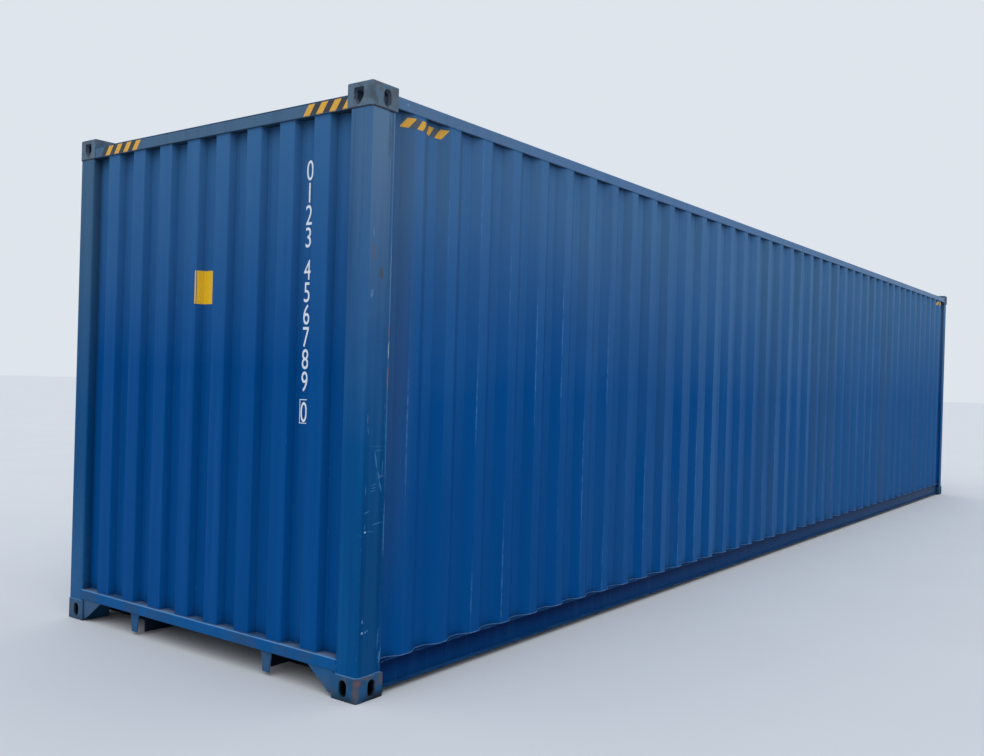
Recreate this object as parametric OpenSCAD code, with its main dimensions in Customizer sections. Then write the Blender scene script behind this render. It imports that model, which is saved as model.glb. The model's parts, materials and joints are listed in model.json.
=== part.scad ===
// Steel shipping container, forty foot high-cube size, empty and closed.
// Millimetres. +Z up, X along the length with the blank front end at -X and
// the doors at +X. The right side is at -Y. The origin is at the middle of the
// rectangle that the outer faces bound, on the plane under the bottom castings.

/* [Overall size] */
// Length over the corner castings
box_l = 12192; // [9000:1:13700]
// Width over the corner castings
box_w = 2438; // [2300:1:2600]
// Height over the corner castings
box_h = 2896; // [2400:1:2896]

/* [Corner castings] */
// Casting length, along the container
cast_l = 178; // [160:1:200]
// Casting width, across the container
cast_w = 162; // [150:1:180]
// Casting height
cast_h = 118; // [110:1:130]
// Thickness of the wall that the twistlock passes through
cast_lock_wall = 28; // [20:1:34]
// Thickness of the two outer walls
cast_outer_wall = 25; // [16:1:30]
// Thickness of the inner walls
cast_inner_wall = 12; // [8:1:20]
// Length of the twistlock aperture
lock_slot_l = 124; // [110:1:128]
// Width of the twistlock aperture
lock_slot_w = 63.5; // [56:0.5:66]
// Twistlock aperture centre, from the container's end
lock_from_end = 103; // [98:0.5:106]
// Twistlock aperture centre, from the container's side
lock_from_side = 89.5; // [86:0.5:94]
// Width of a lifting aperture in an outer wall
lift_slot_w = 51; // [40:1:56]
// Height of a lifting aperture
lift_slot_h = 79.5; // [70:0.5:84]
// Width of the shield-shaped aperture in the end of a top casting
shield_w = 63; // [50:1:66]
// Height of that aperture's tapered part
shield_taper = 33.5; // [20:0.5:50]
// Width of its blunt point
shield_point = 12; // [4:1:30]
// Lifting aperture's centre, from the outer end or side
lift_from_corner = 101.5; // [96:0.5:106]
// Height of the apertures' centre above a bottom casting's underside
lift_up_bottom = 59; // [54:1:62]
// Depth of the apertures' centre under a top casting's top
lift_down_top = 65; // [58:1:66]
// Radius of a casting's outer corner edge
cast_corner_r = 22; // [6:1:24]
// Radius of a casting's other edges
cast_edge_r = 7; // [2:0.5:8]

/* [Folds] */
// Inner radius of the folds and tube corners
fold_r = 3; // [1:0.5:5]

/* [Front frame] */
// Front post's width on the end face
post_face = 139; // [110:1:155]
// Front post's depth on the side face
post_side = 165; // [120:1:172]
// Front post's steel
post_t = 6; // [4:0.5:8]
// Post faces stand in from the castings
post_inset = 4; // [2:0.5:8]
// Fold radius at a front post's outer corner
post_r = 20; // [12:1:30]
// Width of the pressed groove down the post's side
groove_w = 34; // [20:1:50]
// Depth of the groove
groove_d = 6; // [3:0.5:10]
// Flat between the groove and the post's rear fold
groove_land = 14; // [13:1:24]
// Front rails' depth, along the container
end_rail_d = 60; // [50:1:70]
// Header's height on the front end
header_h = 62; // [50:1:80]
// Sill's height on the front end
sill_h = 60; // [50:1:80]
// Sill's underside above the base
sill_up = 127; // [122:1:140]
// Steel of the end rails
end_rail_t = 4; // [3:0.5:6]
// Front rails stand in from the castings
end_rail_inset = 2; // [1:0.5:6]
// Gusset's top edge, along the sill
gusset_top = 173; // [120:1:220]
// Gusset's bottom edge
gusset_foot = 24; // [12:1:50]
// Gusset and leg plate
gusset_t = 6; // [4:0.5:10]
// Gusset and leg feet above the base
gusset_up = 18; // [14:1:40]
// Leg's width at the sill
leg_top = 80; // [60:1:110]
// Leg's width at its foot
leg_foot = 50; // [30:1:80]
// Leg's distance from the container's middle
leg_mid = 564; // [540:1:620]

/* [Side frame] */
// Top side rail, square tube
top_rail = 60; // [50:1:70]
// Steel of the top side rail
top_rail_t = 3; // [2.5:0.5:5]
// Top rail's upper face under the castings' tops
top_rail_down = 36; // [26:1:50]
// Top rail stands in from the castings
top_rail_inset = 2.5; // [1:0.5:4]
// Bottom side rail's top flange
rail_flange = 48; // [42:1:56]
// Bottom side rail's bottom flange
rail_lip = 30; // [20:1:40]
// Bottom side rail's steel
rail_t = 4.5; // [3:0.5:6]
// Bottom side rail's underside above the base
rail_up = 30; // [24:1:40]
// Bottom side rail's top above the base
rail_top = 165; // [150:1:175]
// Bottom rail stands in from the castings
rail_inset = 2; // [1:0.5:4]

/* [Side walls] */
// Corrugation pitch
side_pitch = 278; // [240:1:320]
// Width of an outer flat
side_crest = 72; // [60:1:90]
// Length of a slope, along the wall
side_slope = 68; // [50:1:72]
// Corrugation depth
side_depth = 36; // [30:1:37]
// Wall sheet
side_sheet = 2; // [1.6:0.1:3]
// Outer flats stand in from the castings
side_inset = 5; // [4:0.5:6]
// First inner flat, beside the front post
side_first = 73; // [50:1:90]
// Outer radius of the pressed bends
side_bend = 9; // [5:1:12]

/* [Front wall] */
// Corrugation pitch
end_pitch = 250; // [230:1:270]
// Width of an outer flat
end_crest = 110; // [90:1:120]
// Width of a slope, across the wall
end_slope = 18; // [12:1:22]
// Corrugation depth
end_depth = 45.6; // [36:0.1:46]
// Outer flats behind the castings' faces
end_inset = 14; // [12:1:20]
// Wall sheet
end_sheet = 2; // [1.6:0.1:2.5]
// Outer radius of the pressed bends
end_bend = 7; // [4:1:8]
// Number of ribs
end_ribs = 8; // [6:2:8]

/* [Roof] */
// Roof sheet
roof_sheet = 2; // [1.6:0.1:3]
// Height of a stamped rib
roof_rib_h = 18; // [10:1:20]
// Pitch of the stamped ribs
roof_pitch = 209; // [180:1:260]
// Width of a rib's top
roof_crest = 92; // [60:1:120]
// Width of a rib's slope
roof_slope = 14; // [10:1:24]
// Flat margin between a rib's end and the roof's edge
roof_margin = 95; // [70:1:160]
// Roof sheet's edge, in from the castings' side
roof_edge = 22; // [12:1:40]
// Length of the thick plate at each end of the roof
end_plate_l = 390; // [300:1:520]
// Thickness of that plate
end_plate_t = 3; // [2:0.5:5]

/* [Floor and underframe] */
// Floor boards
board_t = 28; // [21:1:30]
// Cross member's height
cross_h = 122; // [100:1:124]
// Cross member's flange
cross_flange = 45; // [35:1:60]
// Cross member's steel
cross_t = 4; // [3:0.5:5]
// Cross member's underside above the base
cross_up = 18; // [14:1:24]
// Spacing of the cross members
cross_pitch = 300; // [250:1:400]
// Clear width of the gooseneck tunnel
tunnel_w = 1029; // [1000:1:1060]
// Length of the tunnel behind the sill
tunnel_l = 3315; // [3150:1:3500]
// Tunnel's clear height above the base
tunnel_h = 120; // [114:1:121]
// Tunnel plate
tunnel_t = 4; // [3:0.5:5]
// Gap left for the weld between the tunnel's plates
weld_gap = 0.3; // [0.1:0.1:0.5]
// Width of a pressed bow over the tunnel plate
bow_w = 120; // [80:1:160]
// Steel strip down the middle of the floor
floor_strip_w = 34; // [20:1:60]

/* [Door end frame] */
// Rear post's width on the door end
rear_post_w = 45; // [40:1:120]
// Rear post's front face, from the container's end
rear_post_deep = 154; // [120:1:170]
// Rear post's rear face, from the container's end
rear_post_back = 46; // [40:1:60]
// Rear post's steel
rear_post_t = 6; // [4:0.5:10]
// Top of the door opening under the castings' tops
rear_head_down = 141; // [125:1:160]
// Rear rails' door-side face, from the container's end
rear_face = 54; // [50:1:64]
// Rear header's depth
rear_head_d = 102; // [80:1:116]
// Rear rails' steel
rear_rail_t = 4; // [3:0.5:8]
// Rear sill's depth
rear_sill_d = 82; // [60:1:110]
// Fall of the rear sill's top towards the doors, for rain
rear_sill_fall = 4; // [0:0.5:10]

/* [Doors] */
// Door leaf thickness
leaf_t = 50; // [40:1:56]
// Door leaf's outer face, from the container's end
leaf_back = 56; // [54:1:64]
// Gap round a door leaf, filled by the gasket
leaf_gap = 10; // [6:1:16]
// Half of the gap between the two leaves
leaf_meet = 6; // [3:1:12]
// Width of the leaf's upright on the hinge side
stile_hinge = 100; // [70:1:120]
// Width of the leaf's upright at the middle
stile_meet = 60; // [40:1:90]
// Height of the leaf's top and bottom rails
leaf_rail = 140; // [100:1:160]
// Tube and channel steel of the leaf
leaf_steel = 3.2; // [2.5:0.1:5]
// Door panel sheet
door_sheet = 2; // [1.6:0.1:2.5]
// Depth of the door panel's troughs
door_depth = 36; // [24:1:40]
// Width of a trough's bottom
door_trough = 60; // [40:1:120]
// Height of a trough's slope
door_slope = 40; // [20:1:60]
// Number of troughs
door_troughs = 5; // [3:1:6]
// The panel's outer flats stand in from the leaf's frame
panel_inset = 6; // [3:1:10]

/* [Locking gear] */
// Locking bar diameter
bar_d = 34; // [26:1:34]
// Locking bar's wall
bar_wall = 3.5; // [2:0.5:5]
// Middle of a bar, from the container's end
bar_back = 31; // [30:1:32]
// Inner bar's distance from the middle of the door end
bar_inner = 255; // [180:1:320]
// Outer bar's distance in from the leaf's hinge edge
bar_outer_inset = 270; // [200:1:400]
// Bars pass the door opening's edges by
bar_over = 60; // [45:1:70]
// Handle length
handle_l = 470; // [380:1:520]
// Height of the handle above the one below it
handle_rise = 180; // [120:1:200]
// Length of the handle's tapered part
handle_neck = 212; // [120:1:300]
// Handle's height at its hub
handle_w = 36; // [28:1:44]
// Handle's height at its grip
handle_tip = 24; // [18:1:30]
// Handle's thickness
handle_t = 10; // [8:1:14]
// Outer radius of the collars on the bars
collar_r = 21.5; // [20:0.5:22]
// Height of a bar guide, a collar or a handle hub
guide_h = 50; // [30:1:70]
// Width of a guide's base plate
guide_w = 110; // [80:1:140]
// Steel of the guides and catches
guide_t = 4; // [3:0.5:5]
// Height of a catch's screw tab
catch_tab = 30; // [16:1:50]
// Height of the lip that holds the handle in its catch
catch_lip = 9; // [4:1:11]
// Catch's far face, from the handle's end
catch_in = 20; // [0:1:60]
// Reach of a cam's nose from the bar's middle
cam_reach = 62; // [50:1:80]
// Length of the bevel on a cam's nose
cam_bevel = 12; // [4:1:20]
// Thickness of a cam's nose
cam_t = 18; // [12:1:26]
// Height of a keeper's jaw
jaw_t = 14; // [10:1:20]
// Gap between a cam's collar and the keeper
keeper_gap = 4; // [2:0.5:8]
// Thickness of the keeper's outer lip
keeper_lip = 8; // [5:0.5:12]
// Width of that lip
keeper_lip_w = 14; // [8:1:24]
// Keeper's reach past the cam's nose
keeper_over = 6; // [3:1:12]
// Hinges on each leaf
hinge_count = 4; // [3:1:5]
// Height of a hinge blade
hinge_h = 90; // [60:1:120]
// Hinge blade's reach over the leaf
hinge_reach = 86; // [60:1:96]
// Hinge blade's thickness
hinge_t = 10; // [8:1:12]
// Length of the blade's bent part, from the leaf's edge
hinge_bend = 22; // [12:1:40]
// Where that part leaves the eye, as an angle
hinge_turn = 35; // [20:1:60]
// Hinge pin diameter
hinge_pin = 14; // [12:1:16]
// Radius of the hinge's eye and lugs
hinge_eye = 15; // [14:0.5:16]
// Middle of a hinge pin, from the container's end
pin_back = 28; // [26:1:30]
// Middle of a hinge pin, from the container's side
pin_in = 28; // [26:1:32]
// Height of a hinge lug
lug_h = 16; // [12:1:24]
// Length of a pin past its lugs
pin_over = 4; // [1:0.5:8]
// Running clearance round the pins and bars
run_gap = 0.3; // [0.1:0.1:0.5]

/* [Hidden] */
$fn = 48;
bend_steps = 3;
over = 1; // how far a cutter passes the face that it cuts

front_x = -box_l / 2;
rear_x = box_l / 2;
side_y = box_w / 2;

cast_x = box_l / 2 - cast_l;
cast_y = box_w / 2 - cast_w;
cast_top_z = box_h - cast_h;

post_y = side_y - post_inset;
post_x = front_x + post_inset;
post_inner_y = post_y - post_face;
post_rear_x = post_x + post_side;

end_rail_x = front_x + end_rail_inset;
end_rail_back = end_rail_x + end_rail_d;
header_z = cast_top_z;
sill_top = sill_up + sill_h;
end_wall_x = front_x + end_inset;

top_rail_y = side_y - top_rail_inset;
top_rail_z = box_h - top_rail_down - top_rail;
roof_z = box_h - top_rail_down;
rail_y = side_y - rail_inset;
web_y = rail_y - rail_flange;

wall_y = side_y - side_inset;
rear_post_x = rear_x - rear_post_deep;
door_y = post_y - rear_post_w;

cross_top = cross_up + cross_h;
floor_top = cross_top + board_t;
floor_end = rear_x - rear_face - rear_sill_d;
tunnel_end = end_rail_back + tunnel_l;
tunnel_y = tunnel_w / 2;
tunnel_side_y = tunnel_y + tunnel_t;

open_top = box_h - rear_head_down;
face_x = rear_x - rear_face;
leaf_x = rear_x - leaf_back;
leaf_z = rail_top + leaf_gap;
leaf_top = open_top - leaf_gap;
leaf_y = door_y - leaf_gap;

roof_start = front_x + end_plate_l;
roof_end = rear_x - end_plate_l;

bar_x = rear_x - bar_back;
bar_z = rail_top - bar_over;
bar_l = open_top + bar_over - bar_z;
bar_outer = leaf_y - bar_outer_inset;
bar_places = [-bar_outer, -bar_inner, bar_inner, bar_outer];

panel_low = leaf_z + leaf_rail;
panel_pitch = (leaf_top - leaf_rail - panel_low) / door_troughs;
panel_x = leaf_x - panel_inset;
handle_z = panel_low + 2 * panel_pitch;
hinge_step = (leaf_top - leaf_z - 2 * leaf_rail) / (hinge_count - 1);
pin_x = rear_x - pin_back;
pin_y = side_y - pin_in;
post_back = rear_x - rear_post_back;

// Point helpers for pressed profiles

function unit(v) = v / norm(v);

// Points of one bend at b, between the straight runs from a and to c
function bend_points(a, b, c, r) =
    let (
        u = unit(a - b),
        v = unit(c - b),
        angle = acos(u * v),
        middle = b + unit(u + v) * r / sin(angle / 2),
        first = b + u * r / tan(angle / 2) - middle,
        turn = (u[0] * v[1] - u[1] * v[0] > 0 ? -1 : 1) * (180 - angle)
    )
    [for (i = [0 : bend_steps])
        let (t = turn * i / bend_steps)
        middle + [first[0] * cos(t) - first[1] * sin(t), first[0] * sin(t) + first[1] * cos(t)]];

// A line of points with every inner corner bent to radius r
function bent(points, r) = [
    for (i = [0 : len(points) - 1])
        each (i == 0 || i == len(points) - 1)
            ? [points[i]]
            : bend_points(points[i - 1], points[i], points[i + 1], r)
];

// The same line moved t to its left
function beside(points, t) = [
    for (i = [0 : len(points) - 1])
        let (
            last = len(points) - 1,
            before = unit(points[max(i, 1)] - points[max(i, 1) - 1]),
            after = unit(points[min(i, last - 1) + 1] - points[min(i, last - 1)]),
            n1 = [-before[1], before[0]],
            n2 = [-after[1], after[0]]
        )
        points[i] + (n1 + n2) * t / (1 + n1 * n2)
];

function backwards(points) = [for (i = [len(points) - 1 : -1 : 0]) points[i]];

// Sheet of thickness t on the left of a line
module pressed(points, t) {
    polygon(concat(points, backwards(beside(points, t))));
}

// Corrugated line: crests at height h over a base line, first crest at start
function ribs(from, to, start, count, pitch, crest, slope, h) = concat(
    [[from, 0]],
    [for (i = [0 : count - 1], p = [[-slope, 0], [0, h], [crest, h], [crest + slope, 0]])
        [start + i * pitch + p[0], p[1]]],
    [[to, 0]]
);

// Rectangle from one corner to the opposite one
module block(low, high) {
    translate(low) cube(high - low);
}

// Rectangle with rounded corners, centred
module rounded(w, h, r) {
    square([w - 2 * r, h], center = true);
    square([w, h - 2 * r], center = true);
    for (x = [-1, 1], y = [-1, 1])
        translate([x * (w / 2 - r), y * (h / 2 - r)]) circle(r);
}

// Upright slot with round ends, centred
module slot(w, h) {
    square([w, h - w], center = true);
    for (y = [-1, 1])
        translate([0, y * (h - w) / 2]) circle(d = w);
}

// Square-topped aperture that narrows to a blunt point below
module shield(w, h) {
    shoulder = shield_taper - h / 2;
    half = w / 2;
    point = shield_point / 2;
    points = [
        [0, h / 2], [-half, h / 2], [-half, shoulder], [-point, -h / 2],
        [point, -h / 2], [half, shoulder], [half, h / 2], [0, h / 2]
    ];
    polygon(bent(points, cast_edge_r));
}

// Four corners of the box, as mirrors of the corner at -X, -Y
module at_corner(x_side, y_side) {
    mirror([x_side > 0 ? 1 : 0, 0, 0])
        mirror([0, y_side > 0 ? 1 : 0, 0])
            children();
}

module mirrored_y(y_side) {
    mirror([0, y_side > 0 ? 1 : 0, 0]) children();
}

// Corner casting at -X, -Y, standing on the lock aperture's face
module casting_body(lift_z, is_top) {
    difference() {
        intersection() {
            linear_extrude(cast_h) difference() {
                square([cast_l, cast_w]);
                difference() {
                    square(cast_corner_r);
                    translate([cast_corner_r, cast_corner_r]) circle(cast_corner_r);
                }
            }
            translate([cast_l / 2, cast_w, cast_h / 2]) rotate([90, 0, 0])
                linear_extrude(cast_w) rounded(cast_l, cast_h, cast_edge_r);
            translate([0, cast_w / 2, cast_h / 2]) rotate([90, 0, 90])
                linear_extrude(cast_l) rounded(cast_w, cast_h, cast_edge_r);
        }
        block(
            [cast_outer_wall, cast_outer_wall, cast_lock_wall],
            [cast_l - cast_inner_wall, cast_w - cast_inner_wall, cast_h - cast_inner_wall]
        );
        translate([lock_from_end, lock_from_side, -over]) rotate(90)
            linear_extrude(cast_lock_wall + 2 * over) slot(lock_slot_w, lock_slot_l);
        translate([lift_from_corner, cast_outer_wall + over, lift_z]) rotate([90, 0, 0])
            linear_extrude(cast_outer_wall + 2 * over) slot(lift_slot_w, lift_slot_h);
        translate([-over, lock_from_side, lift_z]) rotate([90, 0, 90])
            linear_extrude(cast_outer_wall + 2 * over)
                if (is_top) mirror([0, 1]) shield(shield_w, lift_slot_h);
                else slot(lift_slot_w, lift_slot_h);
    }
}

module casting(x_side, y_side, is_top) {
    color("slategray")
        at_corner(x_side, y_side)
            translate([front_x, -side_y, is_top ? box_h : 0])
                mirror([0, 0, is_top ? 1 : 0])
                    casting_body(is_top ? lift_down_top : lift_up_bottom, is_top);
}

// Room that the castings take at both ends of one side
module casting_room() {
    for (x = [-1, 1], z = [0, cast_top_z])
        at_corner(x, -1)
            block([front_x, -side_y, z], [front_x + cast_l, -cast_y, z + cast_h]);
}

// Front post: one open pressed section, with a groove down its side
module front_post(y_side) {
    groove_end = post_rear_x - groove_land;
    groove_start = groove_end - groove_w;
    section = concat(
        [[end_rail_back, -post_inner_y]],
        bend_points(
            [end_rail_back, -post_inner_y], [post_x, -post_inner_y], [post_x, -post_y], post_t + fold_r
        ),
        bend_points([post_x, -post_inner_y], [post_x, -post_y], [0, -post_y], post_r),
        [
            [groove_start, -post_y], [groove_start + groove_d, -post_y + groove_d],
            [groove_end - groove_d, -post_y + groove_d], [groove_end, -post_y]
        ],
        bend_points([groove_end, -post_y], [post_rear_x, -post_y], [post_rear_x, 0], post_t + fold_r),
        [[post_rear_x, -(wall_y - side_depth - side_sheet)]]
    );
    color("steelblue")
        mirrored_y(y_side)
            translate([0, 0, cast_h])
                linear_extrude(cast_top_z - cast_h) pressed(section, post_t);
}

// Rear post: closed box between the side wall and the door opening
module rear_post(y_side) {
    deep = rear_post_deep - rear_post_back;
    wide = rear_post_w;
    color("steelblue")
        mirrored_y(y_side)
            translate([rear_post_x + deep / 2, -(door_y + wide / 2), cast_h])
                linear_extrude(cast_top_z - cast_h) difference() {
                    rounded(deep, wide, rear_post_t + fold_r);
                    rounded(deep - 2 * rear_post_t, wide - 2 * rear_post_t, fold_r);
                }
}

// Rectangular tube along Y with rounded corners
module tube_across(low, high, wall) {
    deep = high[0] - low[0];
    tall = high[2] - low[2];
    translate([low[0] + deep / 2, high[1], low[2] + tall / 2]) rotate([90, 0, 0])
        linear_extrude(high[1] - low[1]) difference() {
            rounded(deep, tall, wall + fold_r);
            rounded(deep - 2 * wall, tall - 2 * wall, fold_r);
        }
}

module front_header() {
    color("steelblue")
        tube_across(
            [end_rail_x, -cast_y, header_z],
            [end_rail_back, cast_y, header_z + header_h],
            end_rail_t
        );
}

module front_sill() {
    color("steelblue")
        tube_across(
            [end_rail_x, -post_inner_y, sill_up],
            [end_rail_back, post_inner_y, sill_top],
            end_rail_t
        );
}

// Plates from the castings up to the sill
module sill_gussets() {
    inner_y = cast_y - gusset_top;
    color("steelblue")
        for (side = [-1, 1])
            mirrored_y(side)
                translate([end_rail_x + gusset_t, 0, 0]) rotate([90, 0, 90])
                    linear_extrude(gusset_t)
                        polygon([
                            [-cast_y, gusset_up], [-cast_y, sill_up], [-inner_y, sill_up],
                            [-cast_y + gusset_foot, gusset_up]
                        ]);
}

// Tapered legs under the sill, at the mouth of the tunnel
module tunnel_legs() {
    color("steelblue")
        for (side = [-1, 1])
            translate([end_rail_x + end_rail_d / 2 - gusset_t, side * leg_mid, 0]) rotate([90, 0, 90])
                linear_extrude(gusset_t)
                    polygon([
                        [-leg_foot / 2, gusset_up], [leg_foot / 2, gusset_up],
                        [leg_top / 2, sill_up], [-leg_top / 2, sill_up]
                    ]);
}

module rear_header() {
    color("steelblue")
        difference() {
            tube_across(
                [face_x - rear_head_d, -door_y, open_top],
                [face_x, door_y, roof_z],
                rear_rail_t
            );
            for (side = [-1, 1])
                mirrored_y(side) casting_room();
        }
}

// Rear sill: pressed channel, open towards the floor
module rear_sill() {
    section = bent([
        [floor_end, rail_up], [face_x, rail_up], [face_x, rail_top - rear_sill_fall], [floor_end, rail_top]
    ], rear_rail_t + fold_r);
    color("steelblue")
        difference() {
            translate([0, door_y, 0]) rotate([90, 0, 0])
                linear_extrude(2 * door_y) pressed(section, rear_rail_t);
            for (side = [-1, 1])
                mirrored_y(side) casting_room();
        }
}

module top_rail_side(y_side) {
    color("steelblue")
        mirrored_y(y_side)
            translate([-cast_x, -top_rail_y + top_rail / 2, top_rail_z + top_rail / 2])
                rotate([90, 0, 90])
                    linear_extrude(2 * cast_x) difference() {
                        rounded(top_rail, top_rail, top_rail_t + fold_r);
                        rounded(top_rail - 2 * top_rail_t, top_rail - 2 * top_rail_t, fold_r);
                    }
}

// Bottom side rail: channel that opens outwards under the wall
module bottom_rail_side(y_side) {
    section = bent([
        [-rail_y, rail_top], [-web_y, rail_top], [-web_y, rail_up], [-web_y - rail_lip, rail_up]
    ], rail_t + fold_r);
    color("steelblue")
        mirrored_y(y_side)
            difference() {
                translate([post_rear_x, 0, 0]) rotate([90, 0, 90])
                    linear_extrude(rear_post_x - post_rear_x)
                        pressed(backwards(section), rail_t);
                casting_room();
            }
}

module side_wall(y_side) {
    usable = rear_post_x - post_rear_x - 2 * side_first - 2 * side_slope - side_crest;
    count = floor(usable / side_pitch) + 1;
    line = bent(
        ribs(
            post_rear_x, rear_post_x, post_rear_x + side_first + side_slope,
            count, side_pitch, side_crest, side_slope, -side_depth
        ), side_bend
    );
    color("royalblue")
        mirrored_y(y_side)
            difference() {
                translate([0, -wall_y + side_depth, rail_top])
                    linear_extrude(top_rail_z - rail_top) pressed(line, side_sheet);
                casting_room();
            }
}

module front_wall() {
    first = -(end_ribs - 1) / 2 * end_pitch - end_crest / 2;
    line = bent(
        ribs(
            -post_inner_y, post_inner_y, first,
            end_ribs, end_pitch, end_crest, end_slope, end_depth
        ), end_bend
    );
    color("royalblue")
        translate([end_wall_x + end_depth, 0, sill_top])
            rotate([0, 0, 90])
                linear_extrude(header_z - sill_top) pressed(backwards(line), end_sheet);
}

// Solid of one stamped roof rib, grown or shrunk by the sheet
module roof_rib(x, inset) {
    half = roof_crest / 2;
    reach = side_y - roof_edge - roof_margin;
    h = roof_rib_h;
    low = inset > 0 ? -over : 0;
    intersection() {
        translate([x, reach + over, roof_z]) rotate([90, 0, 0])
            linear_extrude(2 * (reach + over))
                polygon([
                    [-half - roof_slope + inset, low], [-half - roof_slope + inset, 0],
                    [-half + inset, h], [half - inset, h],
                    [half + roof_slope - inset, 0], [half + roof_slope - inset, low]
                ]);
        translate([x - half - roof_slope, 0, roof_z]) rotate([90, 0, 90])
            linear_extrude(roof_crest + 2 * roof_slope)
                polygon([
                    [-reach + inset, -over], [-reach + inset, 0], [-reach + 2 * h + inset, h],
                    [reach - 2 * h - inset, h], [reach - inset, 0], [reach - inset, -over]
                ]);
    }
}

module roof() {
    length = roof_end - roof_start;
    count = floor((length - roof_pitch) / roof_pitch) + 1;
    first = -(count - 1) / 2 * roof_pitch;
    color("steelblue")
        difference() {
            union() {
                block(
                    [roof_start, -side_y + roof_edge, roof_z],
                    [roof_end, side_y - roof_edge, roof_z + roof_sheet]
                );
                for (i = [0 : count - 1])
                    translate([0, 0, roof_sheet]) roof_rib(first + i * roof_pitch, 0);
            }
            for (i = [0 : count - 1])
                roof_rib(first + i * roof_pitch, roof_sheet);
        }
}

// Thick plates over both ends of the roof; the front one slopes down to the header
module roof_end_plates() {
    low = header_z + header_h;
    color("steelblue") {
        translate([0, cast_y, 0]) rotate([90, 0, 0])
            linear_extrude(2 * cast_y)
                polygon([
                    [end_rail_x, low], [end_rail_back, low], [-cast_x, roof_z],
                    [roof_start, roof_z], [roof_start, roof_z + end_plate_t],
                    [-cast_x, roof_z + end_plate_t], [end_rail_back, low + end_plate_t],
                    [end_rail_x, low + end_plate_t]
                ]);
        for (side = [-1, 1])
            mirrored_y(side)
                block(
                    [-cast_x, -side_y + roof_edge, roof_z],
                    [roof_start, -cast_y, roof_z + end_plate_t]
                );
        difference() {
            block(
                [roof_end, -side_y + roof_edge, roof_z],
                [face_x, side_y - roof_edge, roof_z + end_plate_t]
            );
            for (side = [-1, 1])
                mirrored_y(side) casting_room();
        }
    }
}

// Boards in two halves, either side of the steel strip
module floor_boards() {
    half = floor_strip_w / 2;
    color("peru")
        for (side = [-1, 1])
            mirrored_y(side)
                block([end_rail_back, -web_y, cross_top], [floor_end, -half, floor_top]);
}

module floor_strip() {
    half = floor_strip_w / 2;
    color("dimgray")
        block([end_rail_back, -half, cross_top], [floor_end, half, cross_top + cross_t]);
}

// One cross member along Y, its web towards the doors
module cross_member(x, from_y, to_y) {
    section = bent([
        [-cross_flange, cross_up], [0, cross_up], [0, cross_top], [-cross_flange, cross_top]
    ], cross_t + fold_r);
    translate([x, to_y, 0]) rotate([90, 0, 0])
        linear_extrude(to_y - from_y) pressed(section, cross_t);
}

module cross_members() {
    full_from = tunnel_end + cross_flange;
    full_to = cast_x - cross_flange;
    full = floor((full_to - full_from) / cross_pitch);
    short_from = -cast_x + 2 * cross_flange;
    short = floor((tunnel_end - short_from) / cross_pitch);
    color("steelblue") {
        for (i = [0 : full])
            cross_member(full_from + (full_to - full_from) * i / full, -web_y, web_y);
        for (i = [0 : short - 1], side = [-1, 1])
            mirrored_y(side)
                cross_member(short_from + i * cross_pitch, -web_y, -tunnel_side_y);
    }
}

// Gooseneck tunnel: a top plate and two side plates welded under it, open below and to the front
module gooseneck_tunnel() {
    color("steelblue") {
        block([end_rail_back, -tunnel_side_y, tunnel_h], [tunnel_end, tunnel_side_y, tunnel_h + tunnel_t]);
        for (side = [-1, 1])
            mirrored_y(side)
                block(
                    [end_rail_back, -tunnel_side_y, cross_up],
                    [tunnel_end, -tunnel_y, tunnel_h - weld_gap]
                );
    }
}

module tunnel_bows() {
    rise = cross_top - tunnel_h - tunnel_t - cross_t;
    count = floor((tunnel_l - bow_w) / cross_pitch);
    section = bent([
        [-bow_w / 2, 0], [-bow_w / 4 - rise / 2, 0], [-bow_w / 4, rise],
        [bow_w / 4, rise], [bow_w / 4 + rise / 2, 0], [bow_w / 2, 0]
    ], cross_t + fold_r);
    color("steelblue")
        for (i = [0 : count])
            translate([
                end_rail_back + bow_w / 2 + (tunnel_l - bow_w) * i / count,
                tunnel_y, tunnel_h + tunnel_t
            ])
                rotate([90, 0, 0])
                    linear_extrude(2 * tunnel_y) pressed(section, cross_t);
}

// Door leaf frame, hinge side at -Y
module door_frame(y_side) {
    inner_y = leaf_meet;
    color("steelblue")
        mirrored_y(y_side) {
            for (span = [[leaf_y, leaf_y - stile_hinge], [inner_y + stile_meet, inner_y]])
                translate([leaf_x - leaf_t / 2, -(span[0] + span[1]) / 2, leaf_z])
                    linear_extrude(leaf_top - leaf_z) difference() {
                        rounded(leaf_t, span[0] - span[1], leaf_steel + fold_r);
                        rounded(leaf_t - 2 * leaf_steel, span[0] - span[1] - 2 * leaf_steel, fold_r);
                    }
            for (z = [leaf_z, leaf_top - leaf_rail])
                tube_across(
                    [leaf_x - leaf_t, -leaf_y + stile_hinge, z],
                    [leaf_x, -inner_y - stile_meet, z + leaf_rail],
                    leaf_steel
                );
        }
}

module door_panel(y_side) {
    first = panel_low + panel_pitch / 2 - door_trough / 2;
    line = bent(
        ribs(
            panel_low, leaf_top - leaf_rail, first,
            door_troughs, panel_pitch, door_trough, door_slope, door_depth
        ), side_bend
    );
    color("royalblue")
        mirrored_y(y_side)
            translate([leaf_x - panel_inset, -leaf_meet - stile_meet, 0])
                rotate([90, -90, 0])
                    linear_extrude(leaf_y - stile_hinge - leaf_meet - stile_meet)
                        pressed(line, door_sheet);
}

// Rubber round both leaves, bridging the gap to the frame
module door_gasket() {
    depth = leaf_t / 2;
    color("dimgray")
        translate([leaf_x - leaf_t, 0, 0]) rotate([90, 0, 90])
            linear_extrude(depth) difference() {
                translate([-door_y, rail_top]) square([2 * door_y, open_top - rail_top]);
                for (side = [-1, 1])
                    mirror([side > 0 ? 1 : 0, 0])
                        translate([-leaf_y, leaf_z])
                            square([leaf_y - leaf_meet, leaf_top - leaf_z]);
            }
}

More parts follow.
